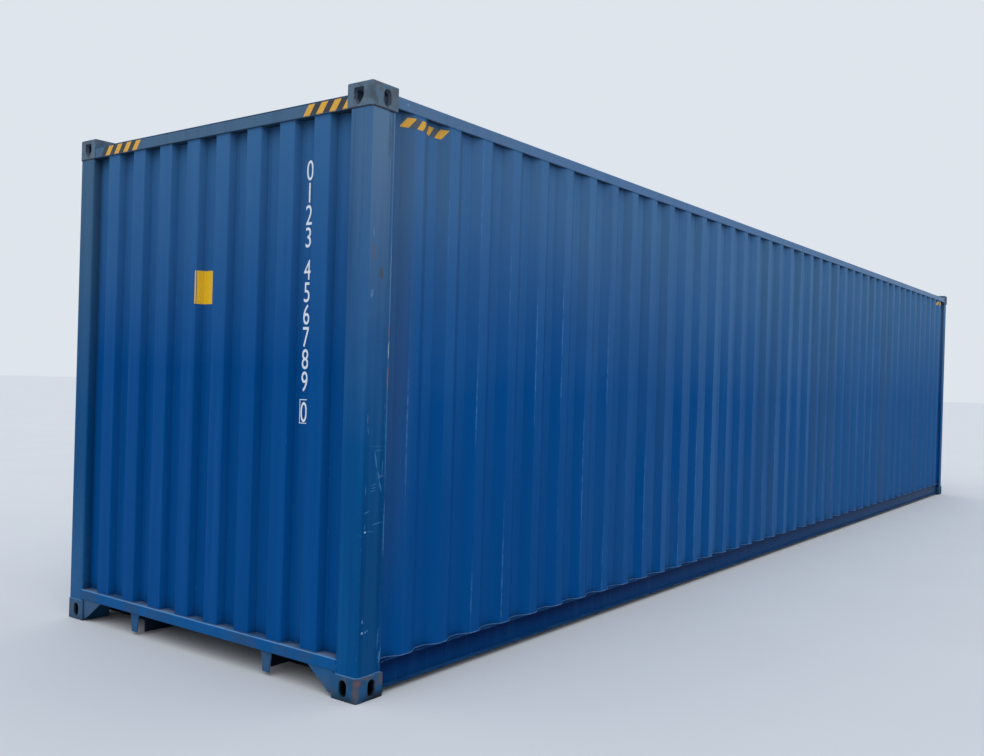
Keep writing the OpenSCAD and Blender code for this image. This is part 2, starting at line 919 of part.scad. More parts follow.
module locking_bars() {
    color("silver")
        for (y = bar_places)
            translate([bar_x, y, bar_z]) difference() {
                cylinder(h = bar_l, d = bar_d);
                translate([0, 0, -over]) cylinder(h = bar_l + 2 * over, d = bar_d - 2 * bar_wall);
            }
}

// The locking gear at one bar: the nose and the handle point towards out_y
module at_bar(y) {
    translate([bar_x, y, 0]) children();
}

// Cams at both ends of each bar: a collar with a hooked nose
module bar_cams() {
    nose = [
        [-cam_t / 2, 0], [cam_t / 2, 0], [cam_t / 2, cam_reach - cam_bevel],
        [cam_t / 2 - cam_bevel / 2, cam_reach], [-cam_t / 2, cam_reach]
    ];
    color("lightgray")
        for (y = bar_places, z = [bar_z, bar_z + bar_l - guide_h])
            at_bar(y)
                translate([0, 0, z]) difference() {
                    union() {
                        cylinder(h = guide_h, r = collar_r);
                        translate([0, 0, jaw_t + run_gap])
                            linear_extrude(guide_h - 2 * jaw_t - 2 * run_gap)
                                mirror([0, y < 0 ? 1 : 0]) polygon(nose);
                    }
                    translate([0, 0, -over]) cylinder(h = guide_h + 2 * over, d = bar_d);
                }
}

// Keepers on the header and the sill: two jaws round the cam's nose
module cam_keepers() {
    base = face_x - bar_x;
    start = collar_r + keeper_gap;
    finish = cam_reach + 2 * keeper_over;
    inner = cam_t / 2 + run_gap;
    outer = cam_t / 2 + keeper_lip;
    lip_end = cam_reach - cam_bevel;
    jaw = [
        [base, start], [outer, lip_end - keeper_lip_w],
        [outer, cam_reach + keeper_over], [base, finish]
    ];
    lip = [
        [inner, lip_end - keeper_lip_w], [outer, lip_end - keeper_lip_w],
        [outer, lip_end], [inner, lip_end]
    ];
    color("lightgray")
        for (y = bar_places, z = [bar_z, bar_z + bar_l - guide_h])
            at_bar(y)
                translate([0, 0, z]) mirror([0, y < 0 ? 1 : 0]) {
                    for (up = [0, guide_h - jaw_t])
                        translate([0, 0, up]) linear_extrude(jaw_t) polygon(jaw);
                    linear_extrude(guide_h) polygon(lip);
                    linear_extrude(guide_h)
                        translate([base, start]) square([guide_t, finish - start]);
                }
}

// Section of a guide that holds a bar off a face
module guide_section(seat) {
    difference() {
        union() {
            circle(collar_r);
            translate([seat, -collar_r]) square([-seat, 2 * collar_r]);
            translate([seat, -guide_w / 2]) square([guide_t, guide_w]);
        }
        circle(d = bar_d + 2 * run_gap);
        translate([seat - over, -collar_r + guide_t])
            square([over - seat, 2 * (collar_r - guide_t)]);
    }
}

// Guides: on the leaf's rails, and on the panel's flats between the troughs
module bar_guides() {
    color("lightgray")
        for (y = bar_places)
            at_bar(y) {
                for (z = [leaf_z + leaf_rail / 2, leaf_top - leaf_rail / 2])
                    translate([0, 0, z - guide_h / 2])
                        linear_extrude(guide_h) guide_section(leaf_x - bar_x);
                for (i = [1, 3, door_troughs - 1])
                    translate([0, 0, panel_low + i * panel_pitch - guide_h / 2])
                        linear_extrude(guide_h) guide_section(panel_x - bar_x);
            }
}

// Handle at the bar, pointing along +Y
module handle_shape() {
    hub = (bar_d / 2 + collar_r) / 2;
    grip = handle_tip / 2;
    difference() {
        cylinder(h = guide_h, r = collar_r, center = true);
        cylinder(h = guide_h + 2 * over, d = bar_d, center = true);
    }
    translate([-handle_t / 2, 0, 0]) rotate([90, 0, 90])
        linear_extrude(handle_t) {
            polygon([
                [hub, -handle_w / 2], [handle_neck, -grip], [handle_l - grip, -grip],
                [handle_l - grip, grip], [handle_neck, grip], [hub, handle_w / 2]
            ]);
            translate([handle_l - grip, 0]) circle(grip);
        }
}

// Inner bars carry the upper handles, outer bars the lower ones
module handle_spots() {
    for (side = [-1, 1]) {
        translate([bar_x, side * bar_inner, handle_z + handle_rise / 2])
            mirror([0, side < 0 ? 1 : 0, 0]) children();
        translate([bar_x, side * bar_outer, handle_z - handle_rise / 2])
            mirror([0, side > 0 ? 1 : 0, 0]) children();
    }
}

module door_handles() {
    color("lightgray") handle_spots() handle_shape();
}

// Catches that hold the handles' grips against the leaves
module handle_catches() {
    seat = panel_x - bar_x;
    out = handle_t / 2 + run_gap;
    under = -handle_tip / 2 - run_gap;
    tab = catch_tab - under;
    hook = [
        [seat, tab], [seat, -tab], [seat + guide_t, -tab],
        [seat + guide_t, under - guide_t], [out + guide_t, under - guide_t],
        [out + guide_t, under + catch_lip], [out, under + catch_lip], [out, under],
        [seat + guide_t, under], [seat + guide_t, -under], [out, -under],
        [out, -under - catch_lip], [out + guide_t, -under - catch_lip],
        [out + guide_t, -under + guide_t], [seat + guide_t, -under + guide_t], [seat + guide_t, tab]
    ];
    color("lightgray")
        handle_spots()
            translate([0, handle_l - catch_in, 0]) rotate([90, 0, 0])
                linear_extrude(guide_h) polygon(hook);
}

// Where the hinges stand: children are placed at a pin on the right post
module hinge_spots() {
    for (side = [-1, 1], i = [0 : hinge_count - 1])
        mirrored_y(side)
            translate([pin_x, -pin_y, leaf_z + leaf_rail + i * hinge_step])
                children();
}

// Blades from the leaf to the pin
module door_hinges() {
    seat = leaf_x - pin_x;
    edge = pin_y - leaf_y;
    clear = post_back - pin_x + over;
    blade = [
        [seat, edge + hinge_reach], [seat, edge], [clear, pin_y - door_y], [clear, 0], [0, 0],
        hinge_eye * [sin(hinge_turn), cos(hinge_turn)], [seat + hinge_t, edge + hinge_bend],
        [seat + hinge_t, edge + hinge_reach]
    ];
    color("steelblue")
        hinge_spots()
            translate([0, 0, -hinge_h / 2])
                linear_extrude(hinge_h) difference() {
                    union() {
                        polygon(blade);
                        circle(hinge_eye);
                    }
                    circle(d = hinge_pin + 2 * run_gap);
                }
}

// Lugs on the rear posts, with the pins that pass through the blades
module hinge_lugs() {
    seat = post_back - pin_x;
    color("steelblue")
        hinge_spots() {
            for (z = [-hinge_h / 2 - run_gap - lug_h, hinge_h / 2 + run_gap])
                translate([0, 0, z]) linear_extrude(lug_h) {
                    circle(hinge_eye);
                    translate([seat, -hinge_eye]) square([-seat, 2 * hinge_eye]);
                }
            translate([0, 0, -hinge_h / 2 - lug_h - pin_over])
                cylinder(h = hinge_h + 2 * (lug_h + pin_over), d = hinge_pin);
        }
}

casting(-1, -1, false);  // casting_front_right_bottom
casting(-1, 1, false);  // casting_front_left_bottom
casting(1, -1, false);  // casting_rear_right_bottom
casting(1, 1, false);  // casting_rear_left_bottom
casting(-1, -1, true);  // casting_front_right_top
casting(-1, 1, true);  // casting_front_left_top
casting(1, -1, true);  // casting_rear_right_top
casting(1, 1, true);  // casting_rear_left_top
front_post(-1);  // front_post_right
front_post(1);  // front_post_left
rear_post(-1);  // rear_post_right
rear_post(1);  // rear_post_left
front_header();
front_sill();
sill_gussets();
tunnel_legs();
rear_header();
rear_sill();
top_rail_side(-1);  // top_rail_right
top_rail_side(1);  // top_rail_left
bottom_rail_side(-1);  // bottom_rail_right
bottom_rail_side(1);  // bottom_rail_left
front_wall();
side_wall(-1);  // side_wall_right
side_wall(1);  // side_wall_left
roof();
roof_end_plates();
floor_boards();
floor_strip();
cross_members();
gooseneck_tunnel();
tunnel_bows();
door_frame(-1);  // door_frame_right
door_frame(1);  // door_frame_left
door_panel(-1);  // door_panel_right
door_panel(1);  // door_panel_left
door_gasket();
locking_bars();
bar_cams();
cam_keepers();
bar_guides();
door_handles();
handle_catches();
door_hinges();
hinge_lugs();
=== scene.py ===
import json
import math
import bpy
from mathutils import Matrix, Vector


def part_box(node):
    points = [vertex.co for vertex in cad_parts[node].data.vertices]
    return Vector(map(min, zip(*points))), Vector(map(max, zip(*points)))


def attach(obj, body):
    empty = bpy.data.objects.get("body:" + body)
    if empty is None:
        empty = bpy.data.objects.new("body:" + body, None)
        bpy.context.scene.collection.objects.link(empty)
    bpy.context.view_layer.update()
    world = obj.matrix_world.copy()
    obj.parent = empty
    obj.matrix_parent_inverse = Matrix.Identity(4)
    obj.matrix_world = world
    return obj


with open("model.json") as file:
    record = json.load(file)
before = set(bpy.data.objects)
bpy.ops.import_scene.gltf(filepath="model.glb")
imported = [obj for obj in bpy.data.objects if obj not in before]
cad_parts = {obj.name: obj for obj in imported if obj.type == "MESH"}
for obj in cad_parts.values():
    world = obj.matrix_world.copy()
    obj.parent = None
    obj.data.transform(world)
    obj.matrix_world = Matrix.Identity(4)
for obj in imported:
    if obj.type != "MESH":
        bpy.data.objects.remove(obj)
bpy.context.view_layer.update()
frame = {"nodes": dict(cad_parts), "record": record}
nodes = frame["nodes"]
scene = bpy.context.scene
print("frame:", len(nodes), "nodes")

xAxis = Vector((1, 0, 0))
yAxis = Vector((0, 1, 0))
up = Vector((0, 0, 1))


def deg(angle):
    return math.radians(angle)


def selectOnly(*objects):
    bpy.ops.object.select_all(action="DESELECT")
    for obj in objects:
        obj.select_set(True)
        bpy.context.view_layer.objects.active = obj


# Camera, at the photograph's view

photoView = {
    "place": (-9.3623, -4.3574, 1.5386),
    "azimuth": -53.584,
    "elevation": 0.104,
    "roll": 1.636,
    "lens": 35.62,
}


def placeCamera(view):
    azimuth, elevation, roll = (deg(view[key]) for key in ("azimuth", "elevation", "roll"))
    back = Vector((
        math.sin(azimuth) * math.cos(elevation),
        -math.cos(azimuth) * math.cos(elevation),
        math.sin(elevation),
    ))
    level = back.cross(up).normalized() * -1
    upright = level.cross(-back)
    right = math.cos(roll) * level + math.sin(roll) * upright
    top = math.cos(roll) * upright - math.sin(roll) * level
    camera = bpy.data.objects.new("photo_camera", bpy.data.cameras.new("photo_camera"))
    scene.collection.objects.link(camera)
    camera.matrix_world = Matrix.Translation(view["place"]) @ Matrix((right, top, back)).transposed().to_4x4()
    camera.data.sensor_width = 36
    camera.data.lens = view["lens"]
    camera.data.clip_end = 400
    scene.camera = camera


placeCamera(photoView)
print("camera: placed")


# Small tools for materials


def linearColour(hexValue):
    channels = [int(hexValue[i:i + 2], 16) / 255 for i in (1, 3, 5)]
    return [c / 12.92 if c <= 0.04045 else ((c + 0.055) / 1.055) ** 2.4 for c in channels] + [1]


def addNode(tree, kind, inputs, **settings):
    node = tree.nodes.new(kind)
    for key, value in settings.items():
        setattr(node, key, value)
    for key, value in inputs.items():
        if isinstance(value, bpy.types.NodeSocket):
            tree.links.new(value, node.inputs[key])
        else:
            node.inputs[key].default_value = value
    return node


def newMaterial(name):
    material = bpy.data.materials.new(name)
    material.use_nodes = True
    tree = material.node_tree
    place = addNode(tree, "ShaderNodeTexCoord", {}).outputs["Object"]
    return material, tree, tree.nodes["Principled BSDF"], place


# A layer of colour over the paint, which shows where all of its ramps do. A ramp is a value, where it starts
# and ends, and how strong the layer is at both


def layColour(tree, paint, tint, *ramps):
    mask = 1.0
    for value, low, high, atLow, atHigh in ramps:
        ramp = addNode(tree, "ShaderNodeMapRange", {0: value, 1: low, 2: high, 3: atLow, 4: atHigh})
        mask = addNode(
            tree, "ShaderNodeMath", {0: mask, 1: ramp.outputs[0]}, operation="MULTIPLY"
        ).outputs[0]
    layered = addNode(
        tree, "ShaderNodeMix", {0: mask, 6: paint, 7: linearColour(tint)}, data_type="RGBA"
    )
    return layered.outputs[2], mask


# Painted steel: two-coat paint over zinc primer on rolled weathering steel. It is satin and deep blue low
# down, chalked grey by the sun higher up, with faint vertical rain runs, dust on ledges and worn edges.


def paintedSteel(name, look):
    material, tree, shader, place = newMaterial(name)
    height = addNode(tree, "ShaderNodeSeparateXYZ", {0: place}).outputs["Z"]
    normal = addNode(tree, "ShaderNodeNewGeometry", {}).outputs["Normal"]

    # Chalking: grows with height, with cloudy borders about a metre across
    clouds = addNode(tree, "ShaderNodeTexNoise", {"Vector": place, "Scale": 1.1, "Detail": 4.0})
    uneven = addNode(
        tree, "ShaderNodeMath", {0: clouds.outputs["Fac"], 1: look["cloud"], 2: height},
        operation="MULTIPLY_ADD",
    )
    low, high = (look[key] + look["cloud"] / 2 for key in ("chalkFrom", "chalkTo"))
    paint, chalked = layColour(
        tree, linearColour(look["deep"]), look["chalk"], (uneven.outputs[0], low, high, 0.0, 1.0)
    )

    # Rain runs: about 60 mm wide and a metre or two long
    stretched = addNode(tree, "ShaderNodeMapping", {"Vector": place, "Scale": (16.0, 16.0, 0.4)})
    runs = addNode(
        tree, "ShaderNodeTexNoise",
        {"Vector": stretched.outputs[0], "Scale": 1.0, "Detail": 5.0, "Roughness": 0.62},
    ).outputs["Fac"]
    for low, high, tint, share in ((0.5, 0.72, look["runDark"], 0.5), (0.5, 0.3, look["runPale"], 0.4)):
        paint = layColour(tree, paint, tint, (runs, low, high, 0.0, share * look["runs"]))[0]

    # Worn edges: where the surface turns within a few millimetres, broken up by 15 mm noise
    chips = addNode(
        tree, "ShaderNodeTexNoise",
        {"Vector": place, "Scale": look["chipScale"], "Detail": 4.0, "Roughness": 0.7},
    )
    rounded = addNode(tree, "ShaderNodeBevel", {"Radius": look["edge"]}, samples=4)
    flatness = addNode(
        tree, "ShaderNodeVectorMath", {0: rounded.outputs[0], 1: normal}, operation="DOT_PRODUCT"
    )
    paint, worn = layColour(
        tree, paint, look["wornColour"], (flatness.outputs["Value"], 0.985, 0.9, 0.0, 1.0),
        (chips.outputs["Fac"], look["chipFrom"], look["chipFrom"] + 0.1, 0.0, 1.0),
    )

    # Blotches: cloudy patches where the top coat has thinned
    for scale, start, share, tint in look.get("blotches", ()):
        patches = addNode(
            tree, "ShaderNodeTexNoise", {"Vector": place, "Scale": scale, "Detail": 5.0, "Roughness": 0.6}
        )
        paint = layColour(tree, paint, tint, (patches.outputs["Fac"], start, start + 0.12, 0.0, share))[0]

    if "paintedLightTones" in look:
        paint = addPaintedFaceLight(tree, place, normal, paint, look["paintedLightTones"])
    if "bends" in look:
        paint = addRubbedBends(tree, place, paint, look["bends"])

    # Rust specks: a few millimetres across, in scattered colonies
    specks = addNode(tree, "ShaderNodeTexNoise", {"Vector": place, "Scale": 55.0, "Detail": 3.0})
    colonies = addNode(tree, "ShaderNodeTexNoise", {"Vector": place, "Scale": 2.6, "Detail": 2.0})
    paint, rusted = layColour(
        tree, paint, look["rustColour"],
        (specks.outputs["Fac"], look["speckFrom"], look["speckFrom"] + 0.05, 0.0, 1.0),
        (colonies.outputs["Fac"], 0.52, 0.62, 0.0, look["rust"]),
    )

    # Painted shade on every face that looks down; dust and dried mud on every ledge that faces up
    tilt = addNode(tree, "ShaderNodeSeparateXYZ", {0: normal}).outputs["Z"]
    paint = layColour(tree, paint, look["shadeColour"], (tilt, -0.5, -0.9, 0.0, look["under"]))[0]
    patchy = addNode(tree, "ShaderNodeTexNoise", {"Vector": place, "Scale": 9.0, "Detail": 5.0})
    paint, dusty = layColour(
        tree, paint, look["dustColour"], (tilt, 0.55, 0.95, 0.0, look["dust"]),
        (patchy.outputs["Fac"], 0.38, 0.6, 0.35, 1.0),
    )

    # Painted shade in the corners where two surfaces meet within a few centimetres, from ambient occlusion
    openness = addNode(tree, "ShaderNodeAmbientOcclusion", {"Distance": look["hollow"]}, samples=6)
    paint = layColour(
        tree, paint, look["shadeColour"], (openness.outputs["AO"], 0.72, 0.3, 0.0, look["cornerShade"])
    )[0]

    if "scars" in look:
        paint = addScars(tree, place, paint, look["scars"], look["scarCore"])
    if "inner" in look:
        paint = addInnerShade(tree, place, paint, look["inner"], chalked)

    matt = worn
    for other in (rusted, dusty):
        matt = addNode(tree, "ShaderNodeMath", {0: matt, 1: other}, operation="MAXIMUM").outputs[0]
    rough = addNode(tree, "ShaderNodeMapRange", {0: matt, 1: 0.0, 2: 1.0, 3: look["rough"], 4: 0.85})

    # Sheet waves about half a metre long, then the paint's own texture
    below = {}
    for scale, detail, rise in ((2.4, 1.0, look["wave"]), (look["grainScale"], 3.0, look["grain"])):
        noise = addNode(tree, "ShaderNodeTexNoise", {"Vector": place, "Scale": scale, "Detail": detail})
        bump = addNode(
            tree, "ShaderNodeBump",
            {"Strength": 1.0, "Distance": rise, "Height": noise.outputs["Fac"], **below},
        )
        below = {"Normal": bump.outputs[0]}
    tree.links.new(paint, shader.inputs["Base Color"])
    tree.links.new(rough.outputs[0], shader.inputs["Roughness"])
    tree.links.new(bump.outputs[0], shader.inputs["Normal"])
    shader.inputs["Specular IOR Level"].default_value = look["gloss"]
    return material


# Face tones: painted light and shade on the faces of a side, lighter or darker by which way a face looks.
# Each tone tints the faces that its "facing" picks, comes and goes along the side and with height, and
# differs from rib to rib

ribPatches = {"along": 2.6, "up": 0.3, "from": 0.47, "to": 0.6}  # noise cells a metre, and its usual spread


def addPaintedFaceLight(tree, place, normal, paint, paintedLightTones):
    where = addNode(tree, "ShaderNodeSeparateXYZ", {0: place})
    outward = addNode(tree, "ShaderNodeSeparateXYZ", {0: normal}).outputs["Y"]
    square = addNode(tree, "ShaderNodeMath", {0: outward}, operation="ABSOLUTE").outputs[0]
    for tone in paintedLightTones:
        stretched = addNode(tree, "ShaderNodeMapping", {
            "Vector": place, "Location": (tone["shift"], 0, 0),
            "Scale": (ribPatches["along"], 0, ribPatches["up"]),
        })
        ribs = addNode(
            tree, "ShaderNodeTexNoise", {"Vector": stretched.outputs[0], "Scale": 1.0, "Detail": 2.0}
        )
        paint = layColour(
            tree, paint, tone["tint"],
            (where.outputs["X"], *tone["rise"], 0.0, tone["share"]),
            (where.outputs["X"], *tone["fade"], 1.0, 0.0),
            (where.outputs["Z"], *tone["heights"], 0.0, 1.0),
            (square, *tone["facing"], 0.0, 1.0),
            (ribs.outputs["Fac"], ribPatches["from"], ribPatches["to"], tone["least"], 1.0),
        )[0]
    return paint


# Rubbed bends: a pale line a few millimetres wide down the near bend of some of the ribs


def addRubbedBends(tree, place, paint, bends):
    along = addNode(tree, "ShaderNodeSeparateXYZ", {0: place}).outputs["X"]
    shifted = addNode(tree, "ShaderNodeMath", {0: along, 1: bends["first"]}, operation="SUBTRACT")
    away = addNode(
        tree, "ShaderNodeMath", {0: shifted.outputs[0], 1: bends["pitch"] / 2}, operation="PINGPONG"
    )
    stretched = addNode(tree, "ShaderNodeMapping", {"Vector": place, "Scale": (1 / bends["pitch"], 0, 0.9)})
    ribs = addNode(
        tree, "ShaderNodeTexNoise", {"Vector": stretched.outputs[0], "Scale": 1.0, "Detail": 2.0}
    )
    broken = addNode(
        tree, "ShaderNodeTexNoise", {"Vector": place, "Scale": 14.0, "Detail": 6.0, "Roughness": 0.75}
    )
    return layColour(
        tree, paint, bends["tint"],
        (away.outputs[0], bends["width"], bends["width"] / 3, 0.0, bends["share"]),
        (ribs.outputs["Fac"], 0.5, 0.62, 0.0, 1.0),
        (broken.outputs["Fac"], 0.42, 0.56, 0.15, 1.0),
    )[0]


# Painted shade inside the castings: it grows from 5 mm to 16 mm below the container's outer faces, stops
# where the castings do, and is blacker in the bottom ones, greyer where the chalking mask is higher


def addInnerShade(tree, place, paint, inner, chalkShare):
    middle = addNode(tree, "ShaderNodeVectorMath", {0: place, 1: inner["centre"]}, operation="SUBTRACT")
    eighth = addNode(tree, "ShaderNodeVectorMath", {0: middle.outputs[0]}, operation="ABSOLUTE")
    deep = addNode(
        tree, "ShaderNodeVectorMath", {0: inner["reach"], 1: eighth.outputs[0]}, operation="SUBTRACT"
    )
    depths = addNode(tree, "ShaderNodeSeparateXYZ", {0: deep.outputs[0]}).outputs
    least = depths["X"]
    for axis in "YZ":
        least = addNode(tree, "ShaderNodeMath", {0: least, 1: depths[axis]}, operation="MINIMUM").outputs[0]
    mask = addNode(
        tree, "ShaderNodeMapRange", {0: least, 1: 0.005, 2: 0.016, 3: 0.0, 4: inner["share"]}
    ).outputs[0]
    for axis, limit in zip("XYZ", inner["size"]):
        within = addNode(tree, "ShaderNodeMath", {0: depths[axis], 1: limit}, operation="LESS_THAN")
        mask = addNode(
            tree, "ShaderNodeMath", {0: mask, 1: within.outputs[0]}, operation="MULTIPLY"
        ).outputs[0]
    innerShade = addNode(
        tree, "ShaderNodeMix",
        {0: chalkShare, 6: linearColour(inner["lowShade"]), 7: linearColour(inner["highShade"])}, data_type="RGBA",
    )
    return addNode(
        tree, "ShaderNodeMix", {0: mask, 6: paint, 7: innerShade.outputs[2]}, data_type="RGBA"
    ).outputs[2]


# One scar is an ellipsoid at a place on the surface, ragged by noise: a scratch, rub or rust bloom. It has
# its centre, half sizes, lean in degrees, raggedness in metres, tint and share


def addScars(tree, place, paint, scars, core):
    noise = addNode(
        tree, "ShaderNodeTexNoise", {"Vector": place, "Scale": 60.0, "Detail": 4.0, "Roughness": 0.7}
    )
    shift = addNode(
        tree, "ShaderNodeVectorMath", {0: noise.outputs["Color"], 1: (0.5, 0.5, 0.5)}, operation="SUBTRACT"
    )
    for centre, size, lean, ragged, tint, share in scars:
        moved = addNode(
            tree, "ShaderNodeVectorMath", {0: shift.outputs[0], 1: (ragged, ragged, ragged), 2: place},
            operation="MULTIPLY_ADD",
        )
        local = addNode(
            tree, "ShaderNodeMapping",
            {"Vector": moved.outputs[0], "Location": centre, "Rotation": (0, deg(lean), 0), "Scale": size},
            vector_type="TEXTURE",
        )
        far = addNode(tree, "ShaderNodeVectorMath", {0: local.outputs[0]}, operation="LENGTH")
        paint = layColour(tree, paint, tint, (far.outputs["Value"], 1.0, core, 0.0, share))[0]
    return paint


paintLook = {
    "deep": "#004987",
    "chalk": "#396692",
    "chalkFrom": 1.4,
    "chalkTo": 2.6,
    "cloud": 0.5,
    "runDark": "#023764",
    "runPale": "#2a6296",
    "runs": 0.4,
    "edge": 0.005,
    "chipScale": 70.0,
    "chipFrom": 0.6,
    "wornColour": "#5f7f97",
    "speckFrom": 0.7,
    "rust": 0.5,
    "rustColour": "#5b3524",
    "dust": 0.6,
    "dustColour": "#64788e",
    # colour and strengths of the painted shade under down-facing faces and in corners
    "shadeColour": "#0a1626",
    "under": 0.7,
    "scarCore": 0.7,
    "hollow": 0.1,
    "cornerShade": 0.75,
    "rough": 0.5,
    "gloss": 0.06,
    "wave": 0.004,
    "grainScale": 260.0,
    "grain": 0.0001,
}

# Tones start out all over a side. Their facing is picked by how squarely the face looks sideways
anywhere = {"rise": (-8, -7), "fade": (7, 8), "heights": (-2, -1), "least": 1.0, "shift": 0}
allFaces = {**anywhere, "facing": (0, 0.1)}
sideFaces = {**anywhere, "facing": (0.86, 0.97)}
broadFaces = {**anywhere, "facing": (0.94, 0.99)}
slantFaces = {**anywhere, "facing": (0.97, 0.86)}

wallLook = {**paintLook, "chalkFrom": 1.5, "chalkTo": 2.75, "gloss": 0.03}
sideWallLook = {
    **wallLook, "chalk": "#436a94", "chalkFrom": 1.4, "chalkTo": 2.6,
    "bends": {"first": -5.786, "pitch": 0.278, "width": 0.006, "share": 0.5, "tint": "#4f83b4"},
    # painted light and shade on the ribs: paler flats and slants along the middle and far end, darker and
    # greyer faces near the front and beside the post
    "paintedLightTones": [
        {**slantFaces, "rise": (-3.0, 1.2), "share": 0.42, "tint": "#417096"},
        {
            **broadFaces, "rise": (-4.9, -2.3), "fade": (-0.4, 4.2), "share": 0.2, "least": 0.6, "shift": 3,
            "tint": "#5c91bb",
        },
        {
            **slantFaces, "rise": (-4.8, -2.6), "fade": (3, 6), "share": 0.36, "least": 0.0, "shift": 11,
            "tint": "#40565f",
        },
        {
            **allFaces, "fade": (-4.4, -2.4), "heights": (2.35, 1.8), "share": 0.5, "least": 0.8, "shift": 9,
            "tint": "#004987",
        },
        {
            **broadFaces, "fade": (-4.4, -2.4), "heights": (0.9, 1.6), "share": 0.07, "least": 0.6,
            "shift": 5, "tint": "#3f90cf",
        },
        {**allFaces, "fade": (-5.82, -5.74), "heights": (0.3, 1.5), "share": 0.3, "tint": "#4a5660"},
        {
            **slantFaces, "fade": (-4.4, -2.9), "heights": (1.6, 2.5), "share": 0.3, "least": 0.2, "shift": 7,
            "tint": "#40565f",
        },
    ],
}
frameLook = {
    **paintLook,
    "deep": "#034d84", "chalk": "#48698c", "chalkFrom": 1.2, "chalkTo": 2.6,
    "wave": 0.002, "rust": 0.8, "chipFrom": 0.56,
    "scars": [
        ((-5.846, -1.213, 2.833), (0.008, 0.02, 0.006), 0, 0.004, "#7fa3bd", 0.6),
        ((-6.094, 0.633, 0.181), (0.02, 0.009, 0.007), 0, 0.008, "#402a33", 0.9),
        ((-6.094, 0.507, 0.178), (0.02, 0.006, 0.004), 0, 0.006, "#5a3a30", 0.8),
    ],
}
# Bottom rail: darker paint as painted shade, its chalk a darker blue towards the rail's top as painted shadow
# under the wall, and a paler painted-light tone on its side faces
railLook = {
    **frameLook, "deep": "#023a70", "chalk": "#001a4a", "chalkFrom": 0.04, "chalkTo": 0.15, "cloud": 0.04,
    "dust": 0.8, "dustColour": "#2b6094", "wornColour": "#3f6c98", "gloss": 0.02,
    "paintedLightTones": [{**sideFaces, "rise": (-4.5, 5.5), "share": 0.55, "tint": "#45607c"}],
}
sillLook = {
    **frameLook, "deep": "#07548f", "blotches": [(4.0, 0.48, 0.5, "#344d66")], "dust": 0.8,
    "dustColour": "#7b92ac", "wornColour": "#6d9ac4",
    "scars": frameLook["scars"] + [((-6.094, 0, 0.187), (0.006, 3, 0.005), 0, 0.004, "#5d92c6", 0.75)],
}
gussetLook = {**frameLook, "deep": "#295985", "blotches": [(5.0, 0.45, 0.4, "#4d5a66")]}
leftPostLook = {
    **frameLook, "deep": "#034b7d", "chalk": "#3f617d", "scarCore": 0.0,
    "scars": [((-6.12, 1.15, 0.2), (0.1, 0.16, 0.8), 0, 0.12, "#3c6b95", 0.6)],
}
headerLook = {**frameLook, "chalk": "#4a6782"}
topRailLook = {
    **frameLook, "chalk": "#55779e", "wornColour": "#7896b4",
    # painted light on the rail's side faces: greyer near the front end, paler towards the far end
    "paintedLightTones": [
        {**sideFaces, "fade": (-5.5, -4.2), "share": 0.4, "least": 0.7, "tint": "#5b7080"},
        {**sideFaces, "rise": (-1, 6), "share": 0.5, "least": 0.7, "tint": "#7f9ab3"},
    ],
}
# Marks on the near corner post, on its side and down its rounded bend: x, z, half width, half height, lean in
# degrees, raggedness, tint and share
sideMarks = [
    (-6.054, 2.1, 0.006, 0.056, -2, 0.01, "#6b5a50", 0.7),
    (-6.057, 2.19, 0.003, 0.03, 0, 0.006, "#6b8fb0", 0.6),
    (-5.998, 2.008, 0.013, 0.033, 0, 0.02, "#54504c", 0.75),
    (-6.06, 1.907, 0.01, 0.024, 8, 0.012, "#5f86b4", 0.65),
    (-5.95, 0.28, 0.005, 0.06, 4, 0.02, "#3a729c", 0.6),
    (-5.938, 0.2, 0.006, 0.045, 8, 0.02, "#4a86b0", 0.6),
    (-6.064, 0.379, 0.005, 0.01, 0, 0.005, "#5f93c0", 0.7),
    (-6.062, 0.326, 0.009, 0.007, 0, 0.014, "#86b2d6", 0.8),
    (-6.041, 0.327, 0.005, 0.007, 30, 0.004, "#5f93c0", 0.7),
    (-6.028, 0.332, 0.004, 0.006, 0, 0.004, "#5f93c0", 0.6),
    (-5.961, 2.66, 0.016, 0.13, 0, 0.04, "#4a5866", 0.45),
    (-6.002, 1.13, 0.005, 0.046, -11, 0.008, "#3f79a4", 0.75),
    (-5.969, 1.024, 0.006, 0.062, -20, 0.008, "#3f7fae", 0.8),
    (-5.983, 1.174, 0.038, 0.004, 0, 0.008, "#2f6a96", 0.7),
    (-5.988, 1.193, 0.06, 0.003, 2, 0.01, "#2f6a96", 0.45),
    (-5.95, 1.09, 0.004, 0.045, 3, 0.01, "#3a76a2", 0.65),
    (-5.961, 1.05, 0.024, 0.006, -4, 0.014, "#56688c", 0.6),
    (-6.014, 1.014, 0.02, 0.003, -14, 0.014, "#3d74a0", 0.7),
    (-6.012, 1, 0.018, 0.003, -10, 0.014, "#3d74a0", 0.7),
    (-6.016, 0.985, 0.02, 0.003, -4, 0.014, "#3d74a0", 0.65),
    (-6.065, 0.99, 0.004, 0.026, 0, 0.01, "#346f9c", 0.6),
    (-6.064, 1.323, 0.004, 0.026, 0, 0.006, "#56689a", 0.7),
    (-6.059, 1.27, 0.004, 0.022, -14, 0.006, "#3f70a0", 0.6),
    (-6.054, 0.888, 0.02, 0.003, -18, 0.008, "#3f7ba6", 0.65),
    (-5.978, 0.83, 0.042, 0.003, -6, 0.008, "#3f7ba6", 0.7),
    (-6.064, 0.818, 0.003, 0.018, 0, 0.004, "#3f7ba6", 0.6),
    (-6.062, 0.796, 0.008, 0.004, 0, 0.008, "#a9c6e6", 0.9),
    (-6.028, 0.796, 0.03, 0.003, 0, 0.008, "#346f9c", 0.5),
]
